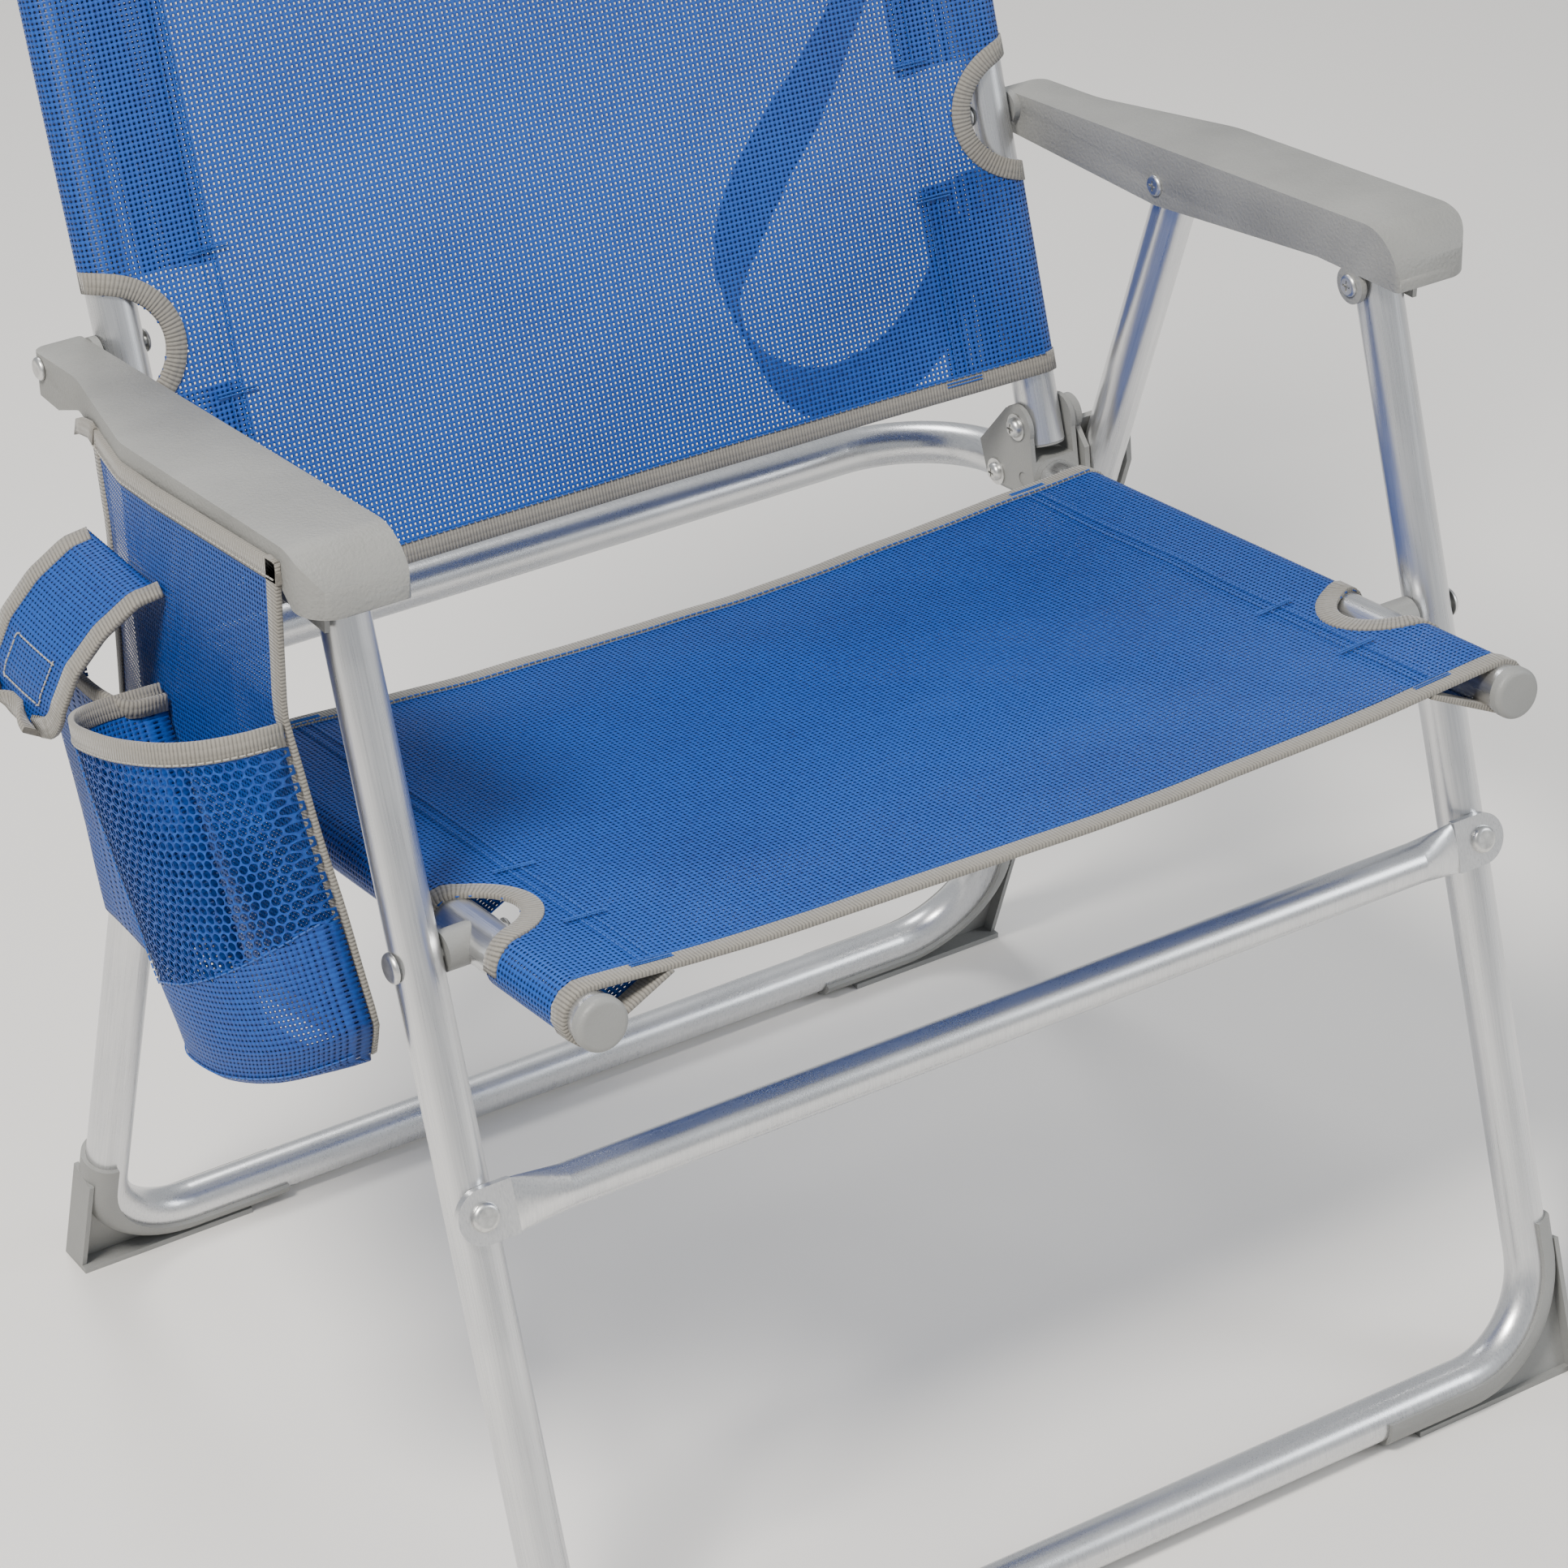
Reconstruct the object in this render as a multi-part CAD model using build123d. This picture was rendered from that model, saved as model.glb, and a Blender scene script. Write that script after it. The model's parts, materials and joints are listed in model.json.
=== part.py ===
from build123d import *
import math
import os

# Folding beach chair: two tubular leg frames, a seat frame and a back frame, joined by two moulded
# armrests, two hinge brackets and two rear links. Slings on the seat and back, a strap behind the
# back, and a side bag under the sitter's right armrest. Millimetres. +Z up, the sitter faces -Y,
# so +X is the sitter's left. The side view is laid out first in its own (y, z) plane.

# ---- driving dimensions -------------------------------------------------------------------------
tube_d = 22.0              # frame tube
tube_wall = 1.2
stretcher_d = 20.0
leg_half_width = 268.0     # middle plane to the leg tubes' axes
seat_half_width = 237.0    # middle plane to the seat and back tubes' axes
seat_height = 380.3        # axis of the seat tubes at their front end
seat_slope = 5.72          # degrees, down towards the rear
seat_length = 463.3        # front end of a seat tube to the axis of its rear cross tube
seat_bend = 60.0           # bend radii, on the axis
leg_bend = 50.0
back_bend = 65.0
back_length = 515.0        # back hinge to the axis of the top cross tube
back_tail = 12.0           # upright below its hinge

front_y = -375.5           # seat tubes' front ends
leg_pivot = 101.0          # seat front end to the front leg pivot, along the seat
hinge_ahead = 97.3         # seat's rear cross tube to the back hinge, along the seat
hinge_rise = 29.6          # back hinge above the seat tube's axis
bracket_bolt_back = 20.5   # lower bracket bolt behind the back hinge, along the seat
arm_rise = 158.2           # leg pivot to armrest pivot, and back hinge to armrest pivot
arm_lean = 16.6            # degrees, lean of those two arms from upright
rear_pivot_ahead = 119.1   # armrest's rear screw to its middle screw
rear_pivot_drop = 2.8
rear_foot_y = 102.8        # axis of the rear ground tube
ground_rise = 14.5         # axis of both ground tubes
link_rivet_down = 221.0    # middle screw to the link rivet, along the rear leg
stretcher_down = 111.0     # front leg pivot to the stretcher rivets, along the leg

pin_r = 3.0                # all rivets and screws
pin_fit = 0.06             # running clearance on the radius
free_gap = 0.4             # between pieces that move past each other
cheek = 2.6                # hinge bracket's walls
link_plate = 2.9
arm_wall = 3.0
arm_inner_x = 252.0        # armrest's inner cheek, outside face
arm_outer_rear_x = 276.5
arm_outer_front_x = 297.5
arm_rear_y = 46.0
arm_front_y = -264.0
arm_top_rear_z = 531.0     # top face at the rear end
arm_top_slope = 5.1        # degrees, up towards the front
sling_gap = 0.3
sling_t = 1.4
sling_sag = 9.0
bag_t = 1.6

# ---- side view ----------------------------------------------------------------------------------
R = tube_d / 2
slope = math.radians(seat_slope)
ALONG = Vector(0, math.cos(slope), -math.sin(slope))      # along the seat, to the rear
ABOVE = Vector(0, math.sin(slope), math.cos(slope))       # square to the seat, up
lean = math.radians(arm_lean)
BACK_UP = Vector(0, math.sin(lean), math.cos(lean))       # along the back and the front legs
BACK_REAR = Vector(0, math.cos(lean), -math.sin(lean))

SEAT_FRONT = Vector(0, front_y, seat_height)
SEAT_REAR = SEAT_FRONT + ALONG * seat_length
LEG_PIVOT = SEAT_FRONT + ALONG * leg_pivot + ABOVE * 1.0
HINGE = SEAT_REAR - ALONG * hinge_ahead + ABOVE * hinge_rise
BRACKET_BOLT = SEAT_REAR - ALONG * (hinge_ahead - bracket_bolt_back)
ARM_FRONT = LEG_PIVOT + BACK_UP * arm_rise
ARM_REAR = HINGE + BACK_UP * arm_rise
ARM_MIDDLE = ARM_REAR + Vector(0, -rear_pivot_ahead, -rear_pivot_drop)
FRONT_FOOT = LEG_PIVOT - BACK_UP * ((LEG_PIVOT.Z - ground_rise) / BACK_UP.Z)
REAR_FOOT = Vector(0, rear_foot_y, ground_rise)
REAR_DOWN = (REAR_FOOT - ARM_MIDDLE).normalized()
REAR_BACK = Vector(0, -REAR_DOWN.Z, REAR_DOWN.Y)          # square to the rear leg, to the rear
LINK_RIVET = ARM_MIDDLE + REAR_DOWN * link_rivet_down
FRONT_OUT = -BACK_REAR                                    # square to the front leg, to the front


def at(x, p):
    """The side-view point p, moved out to x."""
    return Vector(x, p.Y, p.Z)


def rod(x0, x1, p, radius):
    """A cylinder across the chair from x0 to x1, round the side-view point p."""
    length = abs(x1 - x0)
    return Plane(at(min(x0, x1), p), x_dir=(0, 1, 0), z_dir=(1, 0, 0)) * Cylinder(
        radius, length, align=(Align.CENTER, Align.CENTER, Align.MIN))


def plate(points, x0, x1):
    """A flat plate with the side-view outline points, from x0 to x1."""
    wire = Polyline(*[at(min(x0, x1), p) for p in points], close=True)
    return extrude(make_face(wire), amount=abs(x1 - x0), dir=(1, 0, 0))


def ball_head(x, way, p, radius, height):
    """A low rounded head that stands on the plane at x and points way (+1 or -1) along X."""
    head = Cylinder(radius, height, align=(Align.CENTER, Align.CENTER, Align.MIN))
    head = fillet(head.edges().sort_by(Axis.Z)[-1], radius=height * 0.9)
    return Plane(at(x, p), z_dir=(way, 0, 0)) * head


def hex_head(x, way, p, radius, height):
    """A pan head with a cross slot."""
    head = ball_head(x, way, p, radius, height)
    slot = Box(2.4, 1.2, radius) + Box(2.4, radius, 1.2)
    return head - Pos(x + way * height, p.Y, p.Z) * slot


def tube(path, outer, wall):
    """A round tube along the path."""
    start = Plane(path @ 0, z_dir=path % 0)
    ring = start * (Circle(outer / 2) - Circle(outer / 2 - wall))
    return sweep(ring, path=path)


def bar(path, radius):
    """A solid round bar along the path."""
    return sweep(Plane(path @ 0, z_dir=path % 0) * Circle(radius), path=path)


def mirror_x(shape):
    return mirror(shape, about=Plane.YZ)


def both(shape):
    """The shape and its mirror image, as two separate solids."""
    return Compound(children=[shape.solid(), mirror_x(shape).solid()])


def drilled(shape, holes):
    for x0, x1, p, radius in holes:
        shape = shape - rod(x0, x1, p, radius)
    return shape


def u_path(half, top, foot, bend):
    """A U in the plane of top and foot: down one side, across, and up the other."""
    return FilletPolyline(at(-half, top), at(-half, foot), at(half, foot), at(half, top), radius=bend)


# ---- frame tubes --------------------------------------------------------------------------------
leg_top = 13.0             # tube above its armrest screw
rear_top = 9.0
cap_length = 6.0           # seat tube's cap in front of the tube


def front_leg_tube():
    path = u_path(leg_half_width, ARM_FRONT + BACK_UP * leg_top, FRONT_FOOT, leg_bend)
    shape = tube(path, tube_d, tube_wall)
    reach = leg_half_width + 40
    holes = [(-reach, reach, ARM_FRONT, pin_r + free_gap), (-reach, reach, LEG_PIVOT, pin_r + pin_fit)]
    for way in (-1, 1):
        spot = at(way * leg_half_width, LEG_PIVOT - BACK_UP * stretcher_down)
        bore = Plane(spot, z_dir=FRONT_OUT) * Cylinder(pin_r + 0.02, 2 * tube_d)
        shape = shape - bore
    return drilled(shape, holes)


def rear_leg_tube():
    path = u_path(leg_half_width, ARM_MIDDLE - REAR_DOWN * rear_top, REAR_FOOT, leg_bend)
    reach = leg_half_width + 40
    holes = [(-reach, reach, ARM_MIDDLE, pin_r + pin_fit), (-reach, reach, LINK_RIVET, pin_r + pin_fit)]
    return drilled(tube(path, tube_d, tube_wall), holes)


def seat_frame_tube():
    path = u_path(seat_half_width, SEAT_FRONT + ALONG * cap_length, SEAT_REAR, seat_bend)
    reach = seat_half_width + 40
    holes = [(-reach, reach, LEG_PIVOT, pin_r + 0.02), (-reach, reach, BRACKET_BOLT, pin_r + 0.02)]
    return drilled(tube(path, tube_d, tube_wall), holes)


def back_frame_tube():
    path = u_path(seat_half_width, HINGE - BACK_UP * (back_tail - 1.5), HINGE + BACK_UP * back_length, back_bend)
    reach = seat_half_width + 40
    holes = [(-reach, reach, HINGE, pin_r + pin_fit), (-reach, reach, ARM_REAR, pin_r + pin_fit)]
    return drilled(tube(path, tube_d, tube_wall), holes)


def end_plug(x, end, way, cap, radius, stem_length):
    """A pressed-in plug: a stem inside the tube and a rounded cap that stands proud of its end."""
    seat = Plane(at(x, end), z_dir=way)
    stem = Cylinder(R - tube_wall - 0.03, stem_length, align=(Align.CENTER, Align.CENTER, Align.MAX))
    top = Cylinder(radius, cap, align=(Align.CENTER, Align.CENTER, Align.MIN))
    top = fillet(top.edges().sort_by(Axis.Z)[-1], radius=cap * 0.45)
    return seat * (stem + top)


def seat_end_caps():
    return both(end_plug(seat_half_width, SEAT_FRONT + ALONG * cap_length, -ALONG, cap_length, R + 1.0, 14))


def front_leg_plugs():
    return both(end_plug(leg_half_width, ARM_FRONT + BACK_UP * leg_top, BACK_UP, 2.0, R, leg_top - pin_r - 1))


def rear_leg_plugs():
    return both(end_plug(leg_half_width, ARM_MIDDLE - REAR_DOWN * rear_top, -REAR_DOWN, 1.5, R, rear_top - pin_r - 1))


def back_end_plugs():
    return both(end_plug(seat_half_width, HINGE - BACK_UP * (back_tail - 1.5), -BACK_UP, 1.5, R - 0.3,
                         back_tail - pin_r - 2.5))


# ---- front stretcher ----------------------------------------------------------------------------
lug_t = 4.0                # the tube's end, pressed flat
lug_w = 25.0
lug_neck = 24.0


def stretcher_line():
    return LEG_PIVOT - BACK_UP * stretcher_down + FRONT_OUT * (R + lug_t / 2 + 0.2)


def front_stretcher():
    line = stretcher_line()
    inner = leg_half_width - R - 4
    middle = bar(Line(at(-inner + lug_neck, line), at(inner - lug_neck, line)), stretcher_d / 2)
    hollow = bar(Line(at(-inner + lug_neck, line), at(inner - lug_neck, line)), stretcher_d / 2 - 1.2)
    shape = middle - hollow
    across = Plane(at(inner - lug_neck, line), x_dir=BACK_UP, z_dir=(1, 0, 0))
    lug_at = Plane(at(inner, line), x_dir=BACK_UP, z_dir=(1, 0, 0))
    neck = loft([across * Circle(stretcher_d / 2), lug_at * Ellipse(lug_w / 2, lug_t / 2)])
    flat = Plane(at(inner, line), x_dir=(1, 0, 0), z_dir=FRONT_OUT)
    long = leg_half_width - inner
    tab = flat * (Pos(long / 2, 0) * Rectangle(long, lug_w) + Pos(long, 0) * Circle(lug_w / 2))
    tab = extrude(tab, amount=lug_t / 2, both=True)
    end = neck + tab
    end = end - Plane(at(leg_half_width, line), z_dir=FRONT_OUT) * Cylinder(pin_r + 0.02, 20)
    return shape + end + mirror_x(end)


def stretcher_rivets():
    line = stretcher_line()
    seat = Plane(at(leg_half_width, line) + FRONT_OUT * (lug_t / 2), z_dir=FRONT_OUT)
    shank = seat * Cylinder(pin_r, 2 * R + lug_t + 1.2, align=(Align.CENTER, Align.CENTER, Align.MAX))
    head = Cylinder(6.6, 2.8, align=(Align.CENTER, Align.CENTER, Align.MIN))
    head = fillet(head.edges().sort_by(Axis.Z)[-1], radius=2.4)
    return both(shank + seat * head)


# ---- foot pads ----------------------------------------------------------------------------------
pad_wall = 2.5
pad_gap = 0.06
pad_up = 16.0              # saddle along the leg above the bend
pad_in = 52.0              # saddle along the ground tube past the bend
web_t = 5.0


def foot_pad(foot, up):
    """Moulded corner foot: a half-round saddle round the bend, and a ribbed gusset to the floor."""
    side = leg_half_width
    bend_top = foot + up * (leg_bend + pad_up)
    path = FilletPolyline(at(side, bend_top), at(side, foot), at(side - leg_bend - pad_in, foot),
                          radius=leg_bend)
    outer = R + pad_wall
    start = Plane(path @ 0, x_dir=(1, 0, 0), z_dir=path % 0)
    half = Pos(outer / 2, 0) * Rectangle(outer, 2 * outer)
    saddle = sweep(start * ((Circle(outer) - Circle(R + pad_gap)) & half), path=path)
    normal = Vector(1, 0, 0).cross(up)
    flat = Plane(foot, x_dir=(1, 0, 0), z_dir=normal)
    lean_cos = up.Z
    low = -(foot.Z + 6) / lean_cos
    edge = side + outer
    up_sign = 1 if flat.to_local_coords(foot + up).Y > 0 else -1
    reach = side - leg_bend - pad_in * 0.6
    turn = leg_bend * (1 - math.cos(math.pi / 4))
    outline = [(edge, up_sign * (leg_bend + 4)), (edge, up_sign * low), (reach, up_sign * low),
               (reach, 0), (side - leg_bend, 0), (side - turn, up_sign * turn),
               (side, up_sign * leg_bend), (side, up_sign * (leg_bend + 4))]
    web = extrude(flat * make_face(Polyline(*outline, close=True)), amount=web_t / 2, both=True)
    rim = [(edge, up_sign * (leg_bend + 4)), (edge, up_sign * low), (edge - 2.5, up_sign * low),
           (edge - 2.5, up_sign * (leg_bend + 4))]
    wall = extrude(flat * make_face(Polyline(*rim, close=True)), amount=R * 0.82, both=True)
    sole = Pos((edge + reach) / 2, foot.Y, 1.5) * Box(edge - reach, 2 * R * 0.82, 3.0)
    pad = saddle + web + wall + sole
    pad = pad - bar(path, R + pad_gap)
    floor = Pos(side, foot.Y, -30) * Box(400, 400, 60)
    return both(pad - floor)


# ---- seat pivots --------------------------------------------------------------------------------
def seat_pivot_spacers():
    outer = leg_half_width - R - free_gap
    sleeve = rod(seat_half_width, outer, LEG_PIVOT, 9.0) - rod(0, outer + 9, LEG_PIVOT, pin_r + 0.02)
    tube_space = bar(Line(at(seat_half_width, SEAT_FRONT), at(seat_half_width, SEAT_REAR)), R + 0.03)
    return both(sleeve - tube_space)


def seat_pivot_rivets():
    outer = leg_half_width + R + 0.3
    inner = seat_half_width - R - 0.2
    pin = rod(inner, outer, LEG_PIVOT, pin_r)
    pin = pin + ball_head(outer, 1, LEG_PIVOT, 7.0, 2.4) + ball_head(inner, -1, LEG_PIVOT, 5.0, 1.6)
    return both(pin)


# ---- hinge brackets -----------------------------------------------------------------------------
bracket_front = 12.0       # bracket ahead of the back hinge, along the seat
bracket_rear = 32.0
bracket_eye = 11.5


def seat_point(ahead, rise):
    """A point ahead of the back hinge along the seat, and rise above the seat tube's axis."""
    return HINGE - ALONG * ahead + ABOVE * (rise - hinge_rise)


def hinge_bracket():
    """A clevis: it grips the seat tube in its bore, and the upright's end turns between its cheeks."""
    inner = seat_half_width - R - free_gap - cheek
    outer = seat_half_width + R + free_gap + cheek
    outline = [seat_point(bracket_front - 1.5, hinge_rise + 3), seat_point(bracket_front, 3),
               seat_point(bracket_front, -6), seat_point(-17, -6), seat_point(-bracket_rear + 2, -2),
               seat_point(-bracket_rear - 2, 14), seat_point(-9, hinge_rise + 8)]
    block = plate(outline, inner, outer) + rod(inner, outer, HINGE, bracket_eye)
    sleeve = bar(Line(at(seat_half_width, seat_point(bracket_front, 0)),
                      at(seat_half_width, seat_point(-bracket_rear + 6, 0))), R + 2.9)
    block = block + sleeve
    slot_floor = hinge_rise - math.hypot(back_tail, R) - 0.5
    slot = [seat_point(60, slot_floor), seat_point(-60, slot_floor), seat_point(-60, 80),
            seat_point(60, 80)]
    block = block - plate(slot, seat_half_width - R - free_gap, seat_half_width + R + free_gap)
    block = block - bar(Line(at(seat_half_width, SEAT_FRONT), at(seat_half_width, SEAT_REAR)), R + 0.04)
    block = drilled(block, [(inner - 9, outer + 9, HINGE, pin_r + 0.02),
                            (inner - 9, outer + 9, BRACKET_BOLT, pin_r + 0.02)])
    mark = seat_point(bracket_front - 9, 2)
    return block - rod(inner - 1, inner + 0.7, mark, 4.0)


def washer(x, way, p):
    ring = rod(x, x + way * 1.0, p, 7.0) - rod(x - 3, x + 3, p, pin_r + 0.02)
    return ring


def back_hinge_bolts():
    inner = seat_half_width - R - free_gap - cheek - 1.03
    outer = seat_half_width + R + free_gap + cheek
    return both(rod(inner, outer, HINGE, pin_r) + hex_head(inner, -1, HINGE, 5.2, 3.4))


def back_hinge_washers():
    return both(washer(seat_half_width - R - free_gap - cheek - 0.01, -1, HINGE))


def bracket_bolts():
    inner = seat_half_width - R - free_gap - cheek - 1.03
    outer = seat_half_width + R + free_gap + cheek
    return both(rod(inner, outer, BRACKET_BOLT, pin_r) + hex_head(inner, -1, BRACKET_BOLT, 4.8, 3.0))


def bracket_washers():
    return both(washer(seat_half_width - R - free_gap - cheek - 0.01, -1, BRACKET_BOLT))


# ---- rear links ---------------------------------------------------------------------------------
link_eye = 9.5
web_top = 56.0             # web above the link rivet, along the leg
web_low = 35.0


def leg_point(up, back):
    """A point up the rear leg from the link rivet, and back from the leg's axis."""
    return LINK_RIVET - REAR_DOWN * up + REAR_BACK * back


def rear_link():
    """A channel that wraps the rear leg, turning on the back hinge above and on the leg below."""
    plate_in = leg_half_width - R - free_gap
    plate_out = leg_half_width + R + free_gap
    boss_in = seat_half_width + R + free_gap + cheek + free_gap
    web_near = R + free_gap
    web_far = web_near + link_plate
    eye = 8.0
    cheek_line = [leg_point(web_top, web_far), leg_point(web_low - 12, web_far - 2), leg_point(-4, eye - 1),
                  leg_point(-eye, 0), leg_point(-4, -eye + 1), leg_point(web_low, -eye + 1),
                  leg_point(web_top - 8, -1)]
    body = plate(cheek_line, plate_in - link_plate, plate_in)
    body = body + plate(cheek_line, plate_out, plate_out + link_plate)
    body = body + rod(plate_in - link_plate, plate_in, LINK_RIVET, eye)
    body = body + rod(plate_out, plate_out + link_plate, LINK_RIVET, eye)
    web = [leg_point(web_top, web_near), leg_point(web_top, web_far), leg_point(web_low, web_far),
           leg_point(web_low, web_near)]
    body = body + plate(web, plate_in - link_plate, plate_out + link_plate)
    boss = rod(boss_in, plate_in, HINGE, link_eye)
    neck = [leg_point(web_top, web_near), leg_point(web_top, web_far + 6), leg_point(web_low, web_far + 4),
            leg_point(web_low, web_near)]
    body = body + boss + plate(neck, plate_in - link_plate, plate_in)
    return drilled(body, [(boss_in - 5, plate_in + 5, HINGE, pin_r + 0.02),
                          (boss_in - 5, plate_out + 9, LINK_RIVET, pin_r + 0.02)])


def rear_link_pins():
    """The link's own stub in the upper boss, and the rivet through the rear leg."""
    plate_in = leg_half_width - R - free_gap
    plate_out = leg_half_width + R + free_gap
    boss_in = seat_half_width + R + free_gap + cheek + free_gap
    stub = rod(boss_in, plate_in, HINGE, pin_r)
    rivet = rod(plate_in - link_plate, plate_out + link_plate, LINK_RIVET, pin_r)
    rivet = rivet + ball_head(plate_out + link_plate, 1, LINK_RIVET, 5.5, 1.8)
    return stub.solid(), rivet.solid()


# ---- armrests -----------------------------------------------------------------------------------
arm_rise_per_mm = math.tan(math.radians(arm_top_slope))
rib_x = leg_half_width + R + free_gap


def arm_top(y):
    return arm_top_rear_z + (arm_rear_y - y) * arm_rise_per_mm


def arm_outline(inset):
    """Armrest seen from above: narrow at the rear, flaring to full width a third of the way along."""
    points = [(arm_inner_x + inset, arm_rear_y - inset), (arm_outer_rear_x - inset, arm_rear_y - inset),
              (arm_outer_rear_x + 0.5 - inset, -2.0), (arm_outer_front_x - 1 - inset, -88.0),
              (arm_outer_front_x - inset, arm_front_y + inset), (arm_inner_x + inset, arm_front_y + inset)]
    return points


def arm_plan(inset):
    radii = [max(2.0 - inset, 0.4), 7.0 - inset, 70.0, 60.0, 16.0 - inset, max(3.0 - inset, 0.4)]
    wire = FilletPolyline(*arm_outline(inset), radius=radii, close=True)
    return make_face(wire)


def arm_side(top_drop, front_in, lower):
    """Side outline of the armrest under a sloping top with a rounded nose; lower is its bottom edge."""
    nose = 24.0 - top_drop
    rear = Vector(0, arm_rear_y + 5, arm_top(arm_rear_y + 5) - top_drop)
    front = Vector(0, arm_front_y + front_in, arm_top(arm_front_y + front_in) - top_drop)
    ends = [rear, front] + [Vector(0, y, z) for y, z in lower]
    edge = FilletPolyline(*[at(200, p) for p in ends], close=True,
                          radius=[0.5, nose] + [0.5] * len(lower))
    return extrude(make_face(edge), amount=150, dir=(1, 0, 0))


def armrest():
    """A moulded channel, open below, with deep inner and shallow outer cheeks and a pivot rib."""
    low = arm_top(arm_front_y) - 28.0
    rear_low = ARM_REAR.Z - 14.5
    inner_edge = [(arm_front_y, low), (ARM_FRONT.Y + 24, low - 2), (ARM_MIDDLE.Y, ARM_MIDDLE.Z - 10.5),
                  (arm_rear_y + 5, rear_low)]
    outer_edge = [(arm_front_y, low), (arm_front_y + 18, low), (arm_front_y + 34, low + 12),
                  (ARM_REAR.Y - 40, arm_top(ARM_REAR.Y) - 12), (ARM_REAR.Y - 16, rear_low),
                  (arm_rear_y + 5, rear_low)]
    split = leg_half_width
    full = extrude(Pos(0, 0, 480) * arm_plan(0), amount=100)
    inside = extrude(Pos(0, 0, 470) * arm_plan(arm_wall), amount=120)
    near = Pos(split - 50, 0, 520) * Box(100, 900, 300)
    shell = (full & arm_side(0, 0, inner_edge) & near) + ((full & arm_side(0, 0, outer_edge)) - near)
    shell = shell + rod(arm_inner_x, arm_inner_x + arm_wall, ARM_FRONT, 9.0)
    deep = [(arm_front_y + arm_wall, 400), (arm_rear_y + 5, 400)]
    shell = shell - (inside & arm_side(arm_wall, arm_wall, deep))
    rib = [at(0, ARM_FRONT + Vector(0, -12, -9)), at(0, ARM_FRONT + Vector(0, -16, 60)),
           at(0, ARM_MIDDLE + Vector(0, 16, 60)), at(0, ARM_MIDDLE + Vector(0, 12, -9))]
    rib = plate(rib, rib_x, rib_x + 2.4) & arm_side(arm_wall - 0.5, arm_wall - 0.5, deep) & full
    shell = shell + rib
    bores = [(arm_inner_x - 9, rib_x + 20, ARM_FRONT, pin_r + 0.02),
             (arm_inner_x - 9, rib_x + 20, ARM_MIDDLE, pin_r + 0.02),
             (arm_inner_x - 9, rib_x + 20, ARM_REAR, pin_r + 0.02)]
    return drilled(shell, bores)


def armrest_screws():
    """Front and middle screws into the rib, and the long rear screw through to the back upright."""
    front = rod(arm_inner_x, rib_x + 2.4, ARM_FRONT, pin_r) + hex_head(arm_inner_x, -1, ARM_FRONT, 5.4, 1.9)
    middle = rod(arm_inner_x, rib_x + 2.4, ARM_MIDDLE, pin_r)
    middle = middle + hex_head(arm_inner_x, -1, ARM_MIDDLE, 5.4, 1.9)
    inner = seat_half_width - R - 0.5
    rear = rod(inner, arm_outer_rear_x + 0.5, ARM_REAR, pin_r)
    rear = rear + ball_head(arm_outer_rear_x + 0.5, 1, ARM_REAR, 5.4, 2.0)
    rear = rear + ball_head(inner, -1, ARM_REAR, 5.4, 1.6)
    return front.solid(), middle.solid(), rear.solid()


def back_spacer():
    """A round disc between the upright and the armrest, on the rear screw."""
    disc = rod(seat_half_width + R + free_gap, arm_inner_x - 0.02, ARM_REAR, 8.0)
    return disc - rod(200, 300, ARM_REAR, pin_r + 0.02)


# ---- slings -------------------------------------------------------------------------------------
seat_sling_front = 12.0    # from the tubes' front ends to the sling's front edge
seat_sling_rear = 336.0    # to its rear edge
back_sling_low = 26.0      # above the back hinge
back_sling_top = 30.0      # sling ends this far below the top bend
window_half = 25.0


def sling(origin, run, face, length, sag):
    """A sheet with a sleeve round each side tube; face points to the sitter."""
    plane = Plane(at(0, origin), x_dir=(1, 0, 0), z_dir=run)
    way = 1 if plane.to_local_coords(origin + face).Y > 0 else -1
    inner = R + sling_gap
    outer = inner + sling_t
    half = seat_half_width
    ring = Circle(outer) - Circle(inner)
    top = ThreePointArc((-half, way * outer), (0, way * (outer - sag)), (half, way * outer))
    low = ThreePointArc((half, way * inner), (0, way * (inner - sag)), (-half, way * inner))
    ends = [Line((half, way * outer), (half, way * inner)), Line((-half, way * inner), (-half, way * outer))]
    sheet = make_face(Wire([top.edge(), ends[0].edge(), low.edge(), ends[1].edge()]))
    sheet = sheet - Pos(half, 0) * Circle(inner) - Pos(-half, 0) * Circle(inner)
    section = sheet + Pos(half, 0) * ring + Pos(-half, 0) * ring
    return extrude(plane * section, amount=length)


def window(centre, run, face, half_x, half_run):
    """A box that opens a sleeve on the outer side round a pivot."""
    box = Plane(at(half_x, centre), x_dir=run, z_dir=(1, 0, 0)) * Box(2 * half_run, 60, 40)
    return box


def seat_sling():
    shape = sling(SEAT_FRONT + ALONG * seat_sling_front, ALONG, ABOVE,
                  seat_sling_rear - seat_sling_front, sling_sag)
    box = window(LEG_PIVOT, ALONG, ABOVE, seat_half_width + 16, window_half)
    pin = rod(seat_half_width - 20, seat_half_width + 20, LEG_PIVOT, 7.0)
    return shape - box - mirror_x(box) - pin - mirror_x(pin)


def back_sling():
    top = back_length - back_bend - back_sling_top
    shape = sling(HINGE + BACK_UP * back_sling_low, BACK_UP, -BACK_REAR, top - back_sling_low, 7.0)
    box = window(ARM_REAR, BACK_UP, -BACK_REAR, seat_half_width + 16, window_half + 3)
    pin = rod(seat_half_width - 20, seat_half_width + 20, ARM_REAR, 7.5)
    shape = shape - box - mirror_x(box) - pin - mirror_x(pin)
    for up in (strap_points[0][1], strap_points[-1][1]):
        slot = Cylinder(loop_r + loop_t + 0.3, loop_w + 0.6) - Cylinder(loop_r - 0.3, loop_w + 5)
        shape = shape - Plane(at(seat_half_width, HINGE + BACK_UP * up), z_dir=BACK_UP) * slot
    return shape


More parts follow.
